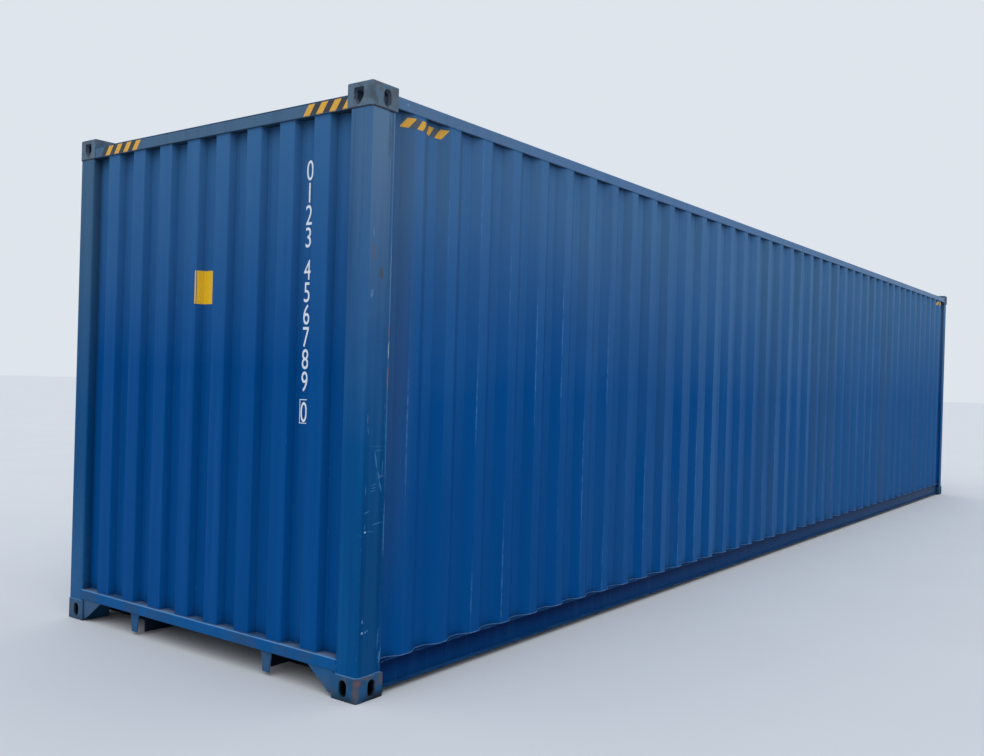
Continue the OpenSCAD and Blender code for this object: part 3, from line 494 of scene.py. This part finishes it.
bendMarks = [
    (-5.932, 1.95, 0.006, 0.28, 0, 0.006, "#6b8fa6", 0.8),
    (-5.934, 1.32, 0.008, 0.4, 0, 0.012, "#3f74a0", 0.6),
    (-5.934, 0.8, 0.006, 0.16, 0, 0.012, "#4f8ab6", 0.55),
    (-5.932, 1.735, 0.009, 0.05, 0, 0.01, "#86604f", 0.85),
    (-5.932, 1.65, 0.009, 0.05, 0, 0.01, "#9fa9b0", 0.8),
    (-5.933, 1.515, 0.009, 0.065, 0, 0.01, "#86604f", 0.85),
    (-5.928, 0.3, 0.005, 0.32, 0, 0.008, "#4a80aa", 0.7),
]
postLook = {
    **frameLook, "runs": 1.0, "gloss": 0.03,
    # painted shade low down and painted light high up on the post's side faces
    "paintedLightTones": [
        {**sideFaces, "heights": (1.6, 0.7), "share": 0.35, "tint": "#003058"},
        {**sideFaces, "heights": (1.7, 2.75), "share": 0.35, "tint": "#7893a8"},
    ],
    "scars": [
        ((x, y, z), (width, depth, height), lean, ragged, tint, share)
        for y, depth, marks in ((-1.213, 0.012, bendMarks), (-1.215, 0.02, sideMarks))
        for x, z, width, height, lean, ragged, tint, share in marks
    ],
}
castingLook = {
    **paintLook,
    "deep": "#24557c", "chalk": "#5d7282", "chalkFrom": 0.4, "chalkTo": 2.6, "cloud": 0.3, "scarCore": 0.15,
    "blotches": [(14.0, 0.5, 0.35, "#33383d"), (26.0, 0.55, 0.55, "#5f5049")],
    "edge": 0.009, "chipScale": 38.0, "chipFrom": 0.47, "wornColour": "#5c4a40",
    "speckFrom": 0.64, "rust": 0.8, "rough": 0.62, "wave": 0.0005, "grainScale": 90.0, "grain": 0.0008,
    # painted shade inside the castings' apertures
    "inner": {
        "centre": (0, 0, 1.448), "reach": (6.096, 1.219, 1.448), "size": (0.17, 0.155, 0.112),
        "share": 0.97, "lowShade": "#07090c", "highShade": "#5b6b7c",
    },
    "scars": [
        ((-6.088, -1.212, 2.84), (0.02, 0.02, 0.06), 0, 0.04, "#464a50", 0.6),
        ((-6.058, -1.219, 2.888), (0.035, 0.03, 0.016), 0, 0.03, "#6d504b", 0.6),
        ((-5.943, -1.219, 2.868), (0.03, 0.02, 0.03), 0, 0.04, "#5b504d", 0.65),
        ((-5.98, -1.219, 2.797), (0.007, 0.01, 0.005), 0, 0.004, "#a5b0b8", 0.9),
        ((-5.97, -1.219, 2.83), (0.07, 0.02, 0.07), 0, 0.03, "#5d5a5c", 0.4),
        ((-6.084, -1.217, 0.096), (0.03, 0.03, 0.022), 0, 0.02, "#765244", 0.85),
        ((-6.093, -1.211, 0.05), (0.026, 0.026, 0.075), 0, 0.02, "#5f5350", 0.85),
        ((-5.93, -1.219, 0.09), (0.035, 0.02, 0.04), 0, 0.02, "#5d5450", 0.85),
        ((-6.02, -1.219, 0.112), (0.05, 0.02, 0.016), 0, 0.015, "#5f5551", 0.8),
        ((-5.968, -1.219, 0), (0.12, 0.03, 0.05), 0, 0.03, "#15181a", 0.95),
        ((-6.096, -1.138, 0), (0.03, 0.1, 0.05), 0, 0.03, "#1d3438", 0.9),
        ((-6.1, 1.14, 0.06), (0.06, 0.12, 0.1), 0, 0.04, "#506370", 0.6),
    ],
}
roofLook = {**paintLook, "deep": "#3d6290", "chalk": "#4b6c90", "dust": 0.85, "rust": 0.9, "speckFrom": 0.66}
underLook = {
    **paintLook, "deep": "#12202e", "chalk": "#1a2c3e", "runs": 0.2, "rust": 1.0, "speckFrom": 0.62,
    "rough": 0.75, "wornColour": "#4a382c", "grain": 0.0004,
}

wallPaint = paintedSteel("painted_wall_sheet", wallLook)
sideWallPaint = paintedSteel("painted_side_sheet", sideWallLook)
framePaint = paintedSteel("painted_frame_steel", frameLook)
postPaint = paintedSteel("painted_corner_post", postLook)
railPaint = paintedSteel("shaded_bottom_rail", railLook)
sillPaint = paintedSteel("painted_front_sill", sillLook)
gussetPaint = paintedSteel("muddy_gussets", gussetLook)
leftPostPaint = paintedSteel("painted_left_post", leftPostLook)
headerPaint = paintedSteel("painted_front_header", headerLook)
topRailPaint = paintedSteel("painted_top_rail", topRailLook)
castingPaint = paintedSteel("painted_cast_steel", castingLook)
roofPaint = paintedSteel("painted_roof_sheet", roofLook)
underCoat = paintedSteel("tar_undercoat", underLook)


# Galvanised steel: zinc spangles a few centimetres across, dull grey where it has oxidised


def galvanisedSteel(name, look):
    material, tree, shader, place = newMaterial(name)
    spangle = addNode(tree, "ShaderNodeTexVoronoi", {"Vector": place, "Scale": 1 / look["spangle"]})
    tone = addNode(tree, "ShaderNodeSeparateXYZ", {0: spangle.outputs["Color"]}).outputs["X"]
    zinc = addNode(
        tree, "ShaderNodeMix",
        {0: tone, 6: linearColour(look["dark"]), 7: linearColour(look["light"])}, data_type="RGBA",
    )
    stains = addNode(
        tree, "ShaderNodeTexNoise", {"Vector": place, "Scale": 14.0, "Detail": 5.0, "Roughness": 0.65}
    )
    colour = layColour(
        tree, zinc.outputs[2], look["rustColour"], (stains.outputs["Fac"], 0.55, 0.7, 0.0, look["rust"])
    )[0]
    rough = addNode(tree, "ShaderNodeMapRange", {0: tone, 1: 0.0, 2: 1.0, 3: 0.42, 4: 0.6})
    bump = addNode(
        tree, "ShaderNodeBump", {"Strength": 1.0, "Distance": 0.0002, "Height": stains.outputs["Fac"]}
    )
    tree.links.new(colour, shader.inputs["Base Color"])
    tree.links.new(rough.outputs[0], shader.inputs["Roughness"])
    tree.links.new(bump.outputs[0], shader.inputs["Normal"])
    shader.inputs["Metallic"].default_value = 0.85
    return material


gearLook = {"spangle": 0.02, "dark": "#868c90", "light": "#a9aeb0", "rust": 0.35, "rustColour": "#6b4a35"}
gearZinc = galvanisedSteel("galvanised_gear", gearLook)


# Floor panels: 28 mm hardwood plywood, oiled brown, in boards 1.16 m by 2.4 m with grain along them


def plywoodFloor(name):
    material, tree, shader, place = newMaterial(name)
    stretched = addNode(tree, "ShaderNodeMapping", {"Vector": place, "Scale": (3.0, 60.0, 60.0)})
    grain = addNode(
        tree, "ShaderNodeTexNoise",
        {"Vector": stretched.outputs[0], "Scale": 1.0, "Detail": 6.0, "Distortion": 0.6},
    )
    wood = addNode(
        tree, "ShaderNodeMix",
        {0: grain.outputs["Fac"], 6: linearColour("#4a2c1a"), 7: linearColour("#7d5434")}, data_type="RGBA",
    )
    seams = addNode(
        tree, "ShaderNodeTexBrick",
        {
            "Vector": place, "Color1": (1, 1, 1, 1), "Color2": (0.86, 0.86, 0.86, 1),
            "Mortar": (0.1, 0.1, 0.1, 1), "Scale": 1.0, "Mortar Size": 0.003,
            "Brick Width": 2.4, "Row Height": 1.16,
        },
    )
    colour = addNode(
        tree, "ShaderNodeMix", {0: 1.0, 6: wood.outputs[2], 7: seams.outputs["Color"]},
        data_type="RGBA", blend_type="MULTIPLY",
    )
    bump = addNode(
        tree, "ShaderNodeBump", {"Strength": 1.0, "Distance": 0.0004, "Height": grain.outputs["Fac"]}
    )
    tree.links.new(colour.outputs[2], shader.inputs["Base Color"])
    tree.links.new(bump.outputs[0], shader.inputs["Normal"])
    shader.inputs["Roughness"].default_value = 0.6
    return material


# Door seal: extruded EPDM rubber, black going grey, with a faint bloom of dust


def sealRubber(name):
    material, tree, shader, place = newMaterial(name)
    bloom = addNode(tree, "ShaderNodeTexNoise", {"Vector": place, "Scale": 18.0, "Detail": 4.0})
    colour = addNode(
        tree, "ShaderNodeMix",
        {0: bloom.outputs["Fac"], 6: linearColour("#15171a"), 7: linearColour("#35383b")}, data_type="RGBA",
    )
    bump = addNode(
        tree, "ShaderNodeBump", {"Strength": 1.0, "Distance": 0.0003, "Height": bloom.outputs["Fac"]}
    )
    tree.links.new(colour.outputs[2], shader.inputs["Base Color"])
    tree.links.new(bump.outputs[0], shader.inputs["Normal"])
    shader.inputs["Roughness"].default_value = 0.7
    return material


floorPly = plywoodFloor("plywood_floor")
doorRubber = sealRubber("seal_rubber")

slotMaterials = {
    "casting_steel": castingPaint,
    "frame_paint": framePaint,
    "wall_paint": wallPaint,
    "roof_paint": roofPaint,
    "underframe_paint": underCoat,
    "floor_wood": floorPly,
    "gasket_rubber": doorRubber,
    "gear_steel": gearZinc,
}
ownMaterials = {
    "side_wall_right": sideWallPaint, "side_wall_left": sideWallPaint,
    "front_post_right": postPaint, "front_post_left": leftPostPaint,
    "front_sill": sillPaint, "front_header": headerPaint,
    "sill_gussets": gussetPaint, "tunnel_legs": gussetPaint,
    "bottom_rail_right": railPaint, "bottom_rail_left": railPaint,
    "top_rail_right": topRailPaint, "top_rail_left": topRailPaint,
}

for part in frame["record"]["subparts"]:
    node = nodes[part["node"]]
    chosen = ownMaterials.get(part["node"], slotMaterials[part["material_slot"]])
    node.data.materials.clear()
    node.data.materials.append(chosen)
print("materials: on all nodes")


# Vinyl and stencil paint: a thin film with fine scuffs


def markFilm(name, tint, faded, rough):
    material, tree, shader, place = newMaterial(name)
    scuffs = addNode(
        tree, "ShaderNodeTexNoise", {"Vector": place, "Scale": 90.0, "Detail": 6.0, "Roughness": 0.7}
    )
    colour = layColour(tree, linearColour(tint), faded, (scuffs.outputs["Fac"], 0.5, 0.75, 0.0, 0.7))[0]
    tree.links.new(colour, shader.inputs["Base Color"])
    shader.inputs["Roughness"].default_value = rough
    return material


yellowVinyl = markFilm("yellow_vinyl", "#e0a52c", "#a58a48", 0.5)
brightVinyl = markFilm("new_yellow_vinyl", "#e5b400", "#c99c10", 0.4)
blackVinyl = markFilm("black_vinyl", "#23272e", "#444f5a", 0.5)
fadedVinyl = markFilm("faded_black_vinyl", "#434e5a", "#5f7082", 0.55)
whiteStencil = markFilm("white_stencil_paint", "#e8edf0", "#b9c4cc", 0.55)


def settle(obj, name, material):
    selectOnly(obj)
    bpy.ops.object.transform_apply(location=True, rotation=True, scale=True)
    obj.name = name
    obj.data.name = name
    obj.data.materials.clear()
    obj.data.materials.append(material)
    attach(obj, "root")
    return obj


def joinPieces(pieces):
    selectOnly(*pieces)
    bpy.ops.object.join()
    return bpy.context.view_layer.objects.active


# A patch of film: a fine grid that is cut to a leaning shape, wrapped onto the sheet behind it and thickened

film = {"grid": 0.004, "thickness": 0.0003, "standOff": 0.03, "reach": 0.2}


def filmPatch(centre, facing, sizes, target, end=None):
    across = up.cross(facing)
    width = sizes["width"] + abs(sizes["lean"])
    columns, rows = (max(int(length / film["grid"]), 2) for length in (width, sizes["height"]))
    bpy.ops.object.select_all(action="DESELECT")
    bpy.ops.mesh.primitive_grid_add(x_subdivisions=columns, y_subdivisions=rows, size=1)
    patch = bpy.context.object
    patch.matrix_world = (
        Matrix.Translation(centre)
        @ Matrix((across, up, facing)).transposed().to_4x4()
        @ Matrix.Diagonal((width, sizes["height"], 1, 1))
    )
    bpy.ops.object.transform_apply(location=True, rotation=True, scale=True)
    cuts = []
    if sizes["lean"]:
        slant = Vector(across * sizes["height"] - up * sizes["lean"]).normalized()
        cuts = [(Vector(centre) + across * side * sizes["width"] / 2, slant * side) for side in (-1, 1)]
    if end:
        cuts.append(end)
    bpy.ops.object.mode_set(mode="EDIT")
    for place, outward in cuts:
        bpy.ops.mesh.select_all(action="SELECT")
        bpy.ops.mesh.bisect(plane_co=place, plane_no=outward, clear_outer=True)
    bpy.ops.object.mode_set(mode="OBJECT")
    wrap = patch.modifiers.new("wrap", "SHRINKWRAP")
    wrap.target = target
    wrap.wrap_method = "PROJECT"
    wrap.use_project_x = abs(facing.x) > 0.5
    wrap.use_project_y = abs(facing.y) > 0.5
    wrap.use_positive_direction = True
    wrap.use_negative_direction = True
    wrap.project_limit = film["reach"]
    wrap.offset = sizes["proud"]
    thick = patch.modifiers.new("thick", "SOLIDIFY")
    thick.thickness = film["thickness"]
    selectOnly(patch)
    for modifier in ("wrap", "thick"):
        bpy.ops.object.modifier_apply(modifier=modifier)
    return patch


# Hazard stripes: yellow and black film on the header and under the top side rails

headerStripes = {
    "count": 4,
    "pitch": 0.09,
    "width": 0.045,
    "height": 0.058,
    "lean": 0.042,
    "proud": 0.0003,
    "rightStart": -0.794,
    "leftStart": 0.6385,
}
sideStripes = {
    "count": 4,
    "pitch": 0.087,
    "width": 0.044,
    "height": 0.049,
    "lean": 0.039,
    "proud": 0.0006,
    "fromPost": 0.106,
    "underRail": 0.043,
}


def addHeaderStripes(sizes):
    low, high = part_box("front_header")
    middle = (low.z + high.z) / 2
    for side, start, step in (("right", sizes["rightStart"], -1), ("left", sizes["leftStart"], 1)):
        edge = high.y if side == "left" else low.y  # the casting hides the film past here
        end = (Vector((0, edge, middle)), yAxis * step)
        films = {"stripes": [], "gaps": []}
        for i in range(sizes["count"]):
            for name, offset in (("stripes", 0), ("gaps", sizes["pitch"] / 2)):
                y = start + step * (i * sizes["pitch"] + offset)
                if step * (edge - y) < -(sizes["width"] + sizes["lean"]) / 2:
                    continue
                films[name].append(filmPatch(
                    (low.x - film["standOff"], y, middle), -xAxis, sizes, nodes["front_header"], end
                ))
        settle(joinPieces(films["stripes"]), f"hazard_stripes_front_{side}", yellowVinyl)
        settle(joinPieces(films["gaps"]), f"hazard_gaps_front_{side}", blackVinyl)


def addSideStripes(sizes):
    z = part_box("top_rail_right")[0].z - sizes["underRail"]
    for side, facing in (("right", -yAxis), ("left", yAxis)):
        wall = nodes["side_wall_" + side]
        low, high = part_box("side_wall_" + side)
        outer = low.y if side == "right" else high.y
        for end, start, step in (("front", low.x, 1), ("rear", high.x, -1)):
            films = []
            for i in range(2 * sizes["count"] - 1):  # yellow and black in turn
                x = start + step * (sizes["fromPost"] + i * sizes["pitch"] / 2)
                films.append(filmPatch((x, outer + facing.y * film["standOff"], z), facing, sizes, wall))
            settle(joinPieces(films[::2]), f"hazard_stripes_{side}_{end}", yellowVinyl)
            settle(joinPieces(films[1::2]), f"hazard_gaps_{side}_{end}", fadedVinyl)


addHeaderStripes(headerStripes)
addSideStripes(sideStripes)
print("hazard stripes: done")


# Stencilled column of plain numerals in the second recess of the front wall, the last one boxed

numerals = {
    "column": "0123 456789",
    "boxed": "0",
    "centre": -0.752,
    "top": 2.586,
    "height": 0.104,
    "pitch": 0.1105,
    "gapPitch": 0.05,
    "narrow": 0.72,
    "boxTop": 1.398,
    "boxHeight": 0.12,
    "boxWidth": 0.06,
    "boxLine": 0.004,
    "film": 0.0004,
    "figure": 0.73,  # the built-in font's figures are this share of its size
    "sheet": 0.002,
}


def addNumeral(digit, z, sizes, wallX):
    bpy.ops.object.select_all(action="DESELECT")
    bpy.ops.object.text_add(rotation=(deg(90), 0, deg(-90)))
    text = bpy.context.object
    text.data.body = digit
    text.data.align_x = "CENTER"
    text.data.size = sizes["height"] / sizes["figure"]
    text.data.extrude = sizes["film"] / 2
    text.data.resolution_u = 6
    text.scale = (sizes["narrow"], 1, 1)
    text.location = (wallX, sizes["centre"], z)
    bpy.ops.object.convert(target="MESH")
    return bpy.context.object


def addNumerals(sizes):
    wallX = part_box("front_wall")[1].x - sizes["sheet"] - sizes["film"] / 2  # the recess's outer face
    made = []
    top = sizes["top"]
    for digit in sizes["column"]:
        if digit == " ":
            top -= sizes["gapPitch"]
            continue
        made.append(addNumeral(digit, top - sizes["height"], sizes, wallX))
        top -= sizes["pitch"]
    boxMiddle = sizes["boxTop"] - sizes["boxHeight"] / 2
    made.append(addNumeral(sizes["boxed"], boxMiddle - sizes["height"] / 2, sizes, wallX))
    bpy.ops.object.select_all(action="DESELECT")
    bpy.ops.mesh.primitive_plane_add(size=1, rotation=(deg(90), 0, deg(-90)))
    outline = bpy.context.object
    outline.location = (wallX + sizes["film"] / 2, sizes["centre"], boxMiddle)
    outline.scale = (sizes["boxWidth"], sizes["boxHeight"], 1)
    bpy.ops.object.transform_apply(location=True, rotation=True, scale=True)
    bpy.ops.object.mode_set(mode="EDIT")
    bpy.ops.mesh.select_all(action="SELECT")
    bpy.ops.mesh.inset(thickness=sizes["boxLine"])
    bpy.ops.mesh.delete(type="FACE")
    bpy.ops.mesh.select_all(action="SELECT")
    bpy.ops.mesh.extrude_region_move(TRANSFORM_OT_translate={"value": (-sizes["film"], 0, 0)})
    bpy.ops.mesh.select_all(action="SELECT")
    bpy.ops.mesh.normals_make_consistent(inside=False)
    bpy.ops.object.mode_set(mode="OBJECT")
    made.append(outline)
    for piece in made:
        selectOnly(piece)
        bpy.ops.object.transform_apply(location=True, rotation=True, scale=True)
    settle(joinPieces(made), "stencil_numerals", whiteStencil)


addNumerals(numerals)

# A plain yellow patch of film across the middle recess of the front wall, with nothing on it

yellowPatch = {"centre": (-6.11, 0.02, 1.975), "width": 0.12, "height": 0.18, "lean": 0, "proud": 0.0004}
patch = filmPatch(yellowPatch["centre"], -xAxis, yellowPatch, nodes["front_wall"])
settle(patch, "yellow_patch", brightVinyl)
print("numerals and patch: done")


# Weld beads: a node is cut by a plane, and the cut's outline becomes a rounded bead

beadSizes = {"weld": 0.003, "seam": 0.0035, "inset": 0.001, "merge": 0.00002}


def openCopy(source):  # a copy of a CAD node with its corners merged, selected and in edit mode
    copy = nodes[source].copy()
    copy.data = copy.data.copy()
    for key in list(copy.keys()):
        del copy[key]
    copy.parent = None
    scene.collection.objects.link(copy)
    selectOnly(copy)
    bpy.ops.object.mode_set(mode="EDIT")
    bpy.ops.mesh.select_all(action="SELECT")
    bpy.ops.mesh.remove_doubles(threshold=beadSizes["merge"])


def weldBead(name, source, place, facing, radius, material):
    openCopy(source)
    bpy.ops.mesh.bisect(plane_co=place, plane_no=facing, clear_inner=True, clear_outer=True)
    bpy.ops.mesh.select_all(action="SELECT")
    bpy.ops.mesh.dissolve_limited(angle_limit=deg(1))
    bpy.ops.object.mode_set(mode="OBJECT")
    bpy.ops.object.convert(target="CURVE")
    bead = bpy.context.object
    bead.data.bevel_depth = radius
    bead.data.bevel_resolution = 1
    bead.data.use_fill_caps = True
    bpy.ops.object.convert(target="MESH")
    settle(bpy.context.object, name, material)


def endBead(name, source, facing, end, radius, material):  # just inside an end of the node's box
    low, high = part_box(source)
    inset = facing * beadSizes["inset"]
    place = low + inset if end == "low" else high - inset
    weldBead(name, source, place, facing, radius, material)


# Rippled welds: one ripple is a flattened ball, and an array lays the ripples along the seam

ripple = {"pitch": 0.7, "flat": 0.8}  # shares of the weld's radius


def rippledWeld(start, end, radius):
    path = Vector(end) - Vector(start)
    count = max(int(path.length / (radius * ripple["pitch"])), 2)
    bpy.ops.object.select_all(action="DESELECT")
    bpy.ops.mesh.primitive_uv_sphere_add(segments=10, ring_count=6, radius=radius)
    bead = bpy.context.object
    bead.matrix_world = (
        Matrix.Translation(start)
        @ path.to_track_quat("Z", "Y").to_matrix().to_4x4()
        @ Matrix.Diagonal((1, 1, ripple["flat"], 1))
    )
    bpy.ops.object.transform_apply(location=True, rotation=True, scale=True)
    row = bead.modifiers.new("row", "ARRAY")
    row.count = count
    row.use_relative_offset = False
    row.use_constant_offset = True
    row.constant_offset_displace = path / (count - 1)
    bpy.ops.object.modifier_apply(modifier="row")
    bpy.ops.object.shade_smooth()
    return bead


sealant = markFilm("painted_sealant", "#255d92", "#7c9fc6", 0.6)  # gun-run seam sealer, its paint rubbed
frontSealant = markFilm("front_sealant", "#0d3c6b", "#30639a", 0.6)  # the same, less rubbed
rubbedBead = markFilm("rubbed_weld_bead", "#3d709f", "#6f9cc4", 0.6)  # paint rubbed thin on the bead
shadowedBead = markFilm("shadowed_weld_bead", "#0e1f33", "#35506c", 0.7)  # painted shadow under the casting, dark on the weld bead
for side in ("right", "left"):
    wall, post = "side_wall_" + side, "front_post_" + side
    endBead(f"seam_{side}_wall_foot", wall, up, "low", beadSizes["seam"], sealant)
    endBead(f"weld_{side}_wall_head", wall, up, "high", beadSizes["weld"], wallPaint)
    endBead(f"weld_{side}_post_foot", post, up, "low", beadSizes["weld"], rubbedBead)
    endBead(f"weld_{side}_post_head", post, up, "high", beadSizes["weld"], shadowedBead)
endBead("seam_front_wall_foot", "front_wall", up, "low", beadSizes["weld"], frontSealant)
endBead("weld_front_wall_head", "front_wall", up, "high", beadSizes["weld"], wallPaint)

# Seams where sheets and rails butt against the frame: node, axis of the seams' planes, bead's radius
endSeams = {
    "side_wall_right": (xAxis, 0.002), "side_wall_left": (xAxis, 0.002), "front_wall": (yAxis, 0.002),
    "top_rail_right": (xAxis, 0.0025), "top_rail_left": (xAxis, 0.0025),
    "bottom_rail_right": (xAxis, 0.0025), "bottom_rail_left": (xAxis, 0.0025),
    "roof": (yAxis, 0.002),
}
for source, (facing, radius) in endSeams.items():
    paint = nodes[source].data.materials[0]
    for mark, end in (("a", "low"), ("b", "high")):
        endBead(f"weld_{source}_{mark}", source, facing, end, radius, paint)

# The roof's sheets are joined between every fifth and sixth rib
roofJoints = {"ribPitch": 0.209, "ribs": 5, "each": 5, "radius": 0.002}
for i in range(-roofJoints["each"], roofJoints["each"] + 1):
    x = i * roofJoints["ribs"] * roofJoints["ribPitch"]
    weldBead(
        f"weld_roof_joint_{i + roofJoints['each']}", "roof", (x, 0, 0), xAxis,
        roofJoints["radius"], roofPaint,
    )

# Groove welds between the front posts and the sill, and over the bottom castings' inner ends
grooveWelds = {"radius": 0.0055, "inset": 0.0065, "past": 0.0035, "down": 0.003, "castingEnd": 1.057}
for side, turn in (("right", -1), ("left", 1)):
    low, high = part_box("front_sill")
    x = low.x + grooveWelds["inset"]
    y = turn * (high.y + grooveWelds["past"])
    z = (low.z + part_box(f"casting_front_{side}_bottom")[1].z) / 2
    beads = [
        rippledWeld((x, y, z), (x, y, high.z - grooveWelds["down"]), grooveWelds["radius"]),
        rippledWeld((x, turn * grooveWelds["castingEnd"], z), (x, y, z), grooveWelds["radius"]),
    ]
    settle(joinPieces(beads), f"weld_{side}_post_to_sill", sillPaint)
print("weld beads: done")


# Bolts of the bar guides and handle catches: a chamfered hexagon head on a washer, modelled once and copied

doorBolts = {
    "head": 0.0085,
    "rise": 0.0065,
    "chamfer": 0.0012,
    "washer": 0.0115,
    "washerRise": 0.002,
    "plate": 0.004,
    "guideAcross": 0.0385,
    "guideUp": 0.0125,
    "catchIn": 0.013,
}


def makeBolt(sizes):
    bpy.ops.object.select_all(action="DESELECT")
    bpy.ops.mesh.primitive_cylinder_add(
        vertices=24, radius=sizes["washer"], depth=sizes["washerRise"], rotation=(0, deg(90), 0),
        location=(sizes["washerRise"] / 2, 0, 0),
    )
    washer = bpy.context.object
    bpy.ops.mesh.primitive_cylinder_add(
        vertices=6, radius=sizes["head"], depth=sizes["rise"], rotation=(0, deg(90), 0),
        location=(sizes["washerRise"] + sizes["rise"] / 2, 0, 0),
    )
    head = bpy.context.object
    for piece in (washer, head):
        selectOnly(piece)
        bpy.ops.object.transform_apply(location=True, rotation=True, scale=True)
        for face in piece.data.polygons:
            face.select = face.normal.x > 0.9
        bpy.ops.object.mode_set(mode="EDIT")
        bpy.ops.mesh.select_mode(type="FACE")
        bpy.ops.mesh.inset(thickness=sizes["chamfer"])
        bpy.ops.transform.translate(value=(sizes["chamfer"] / 2, 0, 0))
        bpy.ops.object.mode_set(mode="OBJECT")
    return joinPieces([washer, head])


def looseBoxes(source):  # the box of each loose part of a node
    openCopy(source)
    bpy.ops.mesh.separate(type="LOOSE")
    bpy.ops.object.mode_set(mode="OBJECT")
    boxes = []
    for piece in list(bpy.context.selected_objects):
        corners = [piece.matrix_world @ vertex.co for vertex in piece.data.vertices]
        boxes.append([Vector([pick(c[i] for c in corners) for i in range(3)]) for pick in (min, max)])
    bpy.ops.object.delete()
    return boxes


def copyTo(source, places):
    copies = []
    for place in places:
        copy = source.copy()
        copy.data = source.data.copy()
        copy.location = place
        scene.collection.objects.link(copy)
        copies.append(copy)
    return joinPieces(copies)


def addDoorBolts(sizes):
    bolt = makeBolt(sizes)
    guidePlaces = []
    for low, high in looseBoxes("bar_guides"):
        middle = (low + high) / 2
        for across in (-1, 1):
            for rise in (-1, 1):
                guidePlaces.append((
                    low.x + sizes["plate"], middle.y + across * sizes["guideAcross"],
                    middle.z + rise * sizes["guideUp"],
                ))
    catchPlaces = []
    for low, high in looseBoxes("handle_catches"):
        for z in (low.z + sizes["catchIn"], high.z - sizes["catchIn"]):
            catchPlaces.append((low.x + sizes["plate"], (low.y + high.y) / 2, z))
    settle(copyTo(bolt, guidePlaces), "bar_guide_bolts", gearZinc)
    settle(copyTo(bolt, catchPlaces), "handle_catch_bolts", gearZinc)
    bpy.data.objects.remove(bolt)
    print("door bolts:", len(guidePlaces) + len(catchPlaces))


addDoorBolts(doorBolts)


# Floor, backdrop and light: an even overcast studio

stageLook = {
    "reach": 120,
    "floor": "#d6d8da",
    "floorPale": "#dcdee0",
    "seen": "#dfe5ec",
    "skyLight": "#e6eefa",
    "skyStrength": 0.86,
    "lampStrength": 1.0,
    "lampAngle": 60,
    "lampTurn": (deg(38), 0, deg(-62)),
}


def layStage(look):
    bpy.ops.object.select_all(action="DESELECT")
    bpy.ops.mesh.primitive_circle_add(vertices=96, radius=look["reach"], fill_type="NGON")
    floor = bpy.context.object
    floor.name = "studio_floor"
    material, tree, shader, place = newMaterial("pale_floor")
    mottle = addNode(tree, "ShaderNodeTexNoise", {"Vector": place, "Scale": 0.8, "Detail": 3.0})
    colour = addNode(
        tree, "ShaderNodeMix",
        {0: mottle.outputs["Fac"], 6: linearColour(look["floor"]), 7: linearColour(look["floorPale"])},
        data_type="RGBA",
    )
    tree.links.new(colour.outputs[2], shader.inputs["Base Color"])
    shader.inputs["Roughness"].default_value = 0.9
    floor.data.materials.append(material)

    world = bpy.data.worlds.new("overcast_studio")
    scene.world = world
    world.use_nodes = True
    tree = world.node_tree
    tree.nodes.clear()
    rays = addNode(tree, "ShaderNodeLightPath", {})
    seen = 0.0
    for ray in ("Is Camera Ray", "Is Glossy Ray", "Is Transmission Ray"):
        seen = addNode(
            tree, "ShaderNodeMath", {0: seen, 1: rays.outputs[ray]}, operation="MAXIMUM"
        ).outputs[0]
    lit = addNode(
        tree, "ShaderNodeBackground", {0: linearColour(look["skyLight"]), 1: look["skyStrength"]}
    )
    shown = addNode(tree, "ShaderNodeBackground", {0: linearColour(look["seen"]), 1: 1.0})
    both = addNode(
        tree, "ShaderNodeMixShader", {0: seen, 1: lit.outputs[0], 2: shown.outputs[0]}
    )
    addNode(tree, "ShaderNodeOutputWorld", {0: both.outputs[0]})

    bpy.ops.object.light_add(type="SUN", rotation=look["lampTurn"])
    lamp = bpy.context.object
    lamp.name = "soft_lamp"
    lamp.data.energy = look["lampStrength"]
    lamp.data.angle = deg(look["lampAngle"])


layStage(stageLook)
scene.view_settings.view_transform = "Standard"
print("stage: lit")
